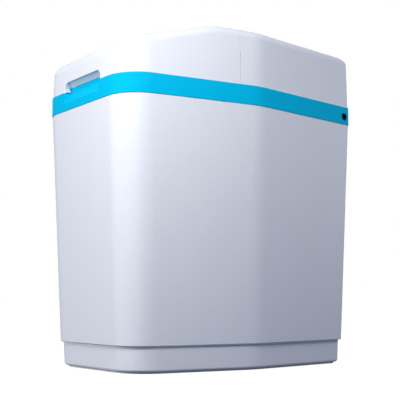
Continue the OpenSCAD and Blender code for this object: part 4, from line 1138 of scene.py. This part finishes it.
class SOFTENER_OT_stage(bpy.types.Operator):
    """Set up the pale floor, the soft lamps and the camera"""

    bl_idname = "softener.stage"
    bl_label = "Stage"

    def execute(self, context):
        stage = context.scene.softener_stage
        scene = context.scene
        scene.view_settings.view_transform = "Standard"
        data = bpy.data.cameras.new("Camera")
        data.lens = stage.focal_length
        data.sensor_width = SENSOR_WIDTH
        scene.camera = new_object("Camera", data)
        look(scene.camera, stage.camera_place, stage.camera_aim)
        self.floor(stage)
        self.sky(scene, stage)
        middle = (0, 0, (CAD_LOW[2] + CAD_HIGH[2]) / 2)
        for name in ("fill", "key", "rim", "top", "back"):
            spot, watts = getattr(stage, name + "_place"), getattr(stage, name + "_power")
            look(lamp(name.title(), stage.lamp_size, watts, stage.lamp_colour), spot, middle)
        return {"FINISHED"}

    def floor(self, stage):
        bm = bmesh.new()
        bmesh.ops.create_circle(bm, cap_ends=True, segments=BAR_STEPS, radius=FLOOR_RADIUS)
        floor = from_bmesh("floor", bm)
        floor.location.z = -FLOOR_DROP
        material = bpy.data.materials.new("Floor")
        material.use_nodes = True
        tree = material.node_tree
        surface = preset(tree.nodes["Principled BSDF"], Base_Color=(*stage.floor, 1), Roughness=0.9)
        bright = shader(tree, "Emission", Color=(1, 1, 1, 1), Strength=SHOWN_WHITE / SHOWN_SHARE)
        share = calc(tree, "MULTIPLY", seen_rays(tree), SHOWN_SHARE)
        blend(tree, share, surface, bright, "Material Output")
        floor.data.materials.append(material)

    def sky(self, scene, stage):
        world = bpy.data.worlds.new("Studio")
        scene.world = world
        world.use_nodes = True
        tree = world.node_tree
        soft = preset(tree.nodes["Background"], Color=(*stage.sky, 1))
        white = shader(tree, "Background", Color=(1, 1, 1, 1))
        blend(tree, seen_rays(tree), soft, white, "World Output")


class SOFTENER_PT_panel(bpy.types.Panel):
    """Lists the pieces of the softener"""

    bl_idname = "SOFTENER_PT_panel"
    bl_label = "Water softener"
    bl_space_type = "VIEW_3D"
    bl_region_type = "UI"
    bl_category = "Softener"

    def draw(self, context):
        for operator in OPERATORS:
            self.layout.operator(operator.bl_idname)


OPERATORS = (
    SOFTENER_OT_tub,
    SOFTENER_OT_collar,
    SOFTENER_OT_front_lid,
    SOFTENER_OT_rear_cover,
    SOFTENER_OT_screws,
    SOFTENER_OT_mouldings,
    SOFTENER_OT_stage,
)
CLASSES = (SoftenerSizes, SoftenerColours, SoftenerStage, *OPERATORS, SOFTENER_PT_panel)


def register():
    for cls in CLASSES:
        bpy.utils.register_class(cls)
    bpy.types.Scene.softener_sizes = PointerProperty(type=SoftenerSizes)
    bpy.types.Scene.softener_colours = PointerProperty(type=SoftenerColours)
    bpy.types.Scene.softener_stage = PointerProperty(type=SoftenerStage)


def unregister():
    del bpy.types.Scene.softener_stage
    del bpy.types.Scene.softener_colours
    del bpy.types.Scene.softener_sizes
    for cls in reversed(CLASSES):
        bpy.utils.unregister_class(cls)


def main():
    register()
    bpy.ops.softener.tub()
    bpy.ops.softener.collar()
    bpy.ops.softener.front_lid()
    bpy.ops.softener.rear_cover()
    bpy.ops.softener.screws()
    bpy.ops.softener.mouldings()
    bpy.ops.softener.stage()


if __name__ == "__main__":
    main()
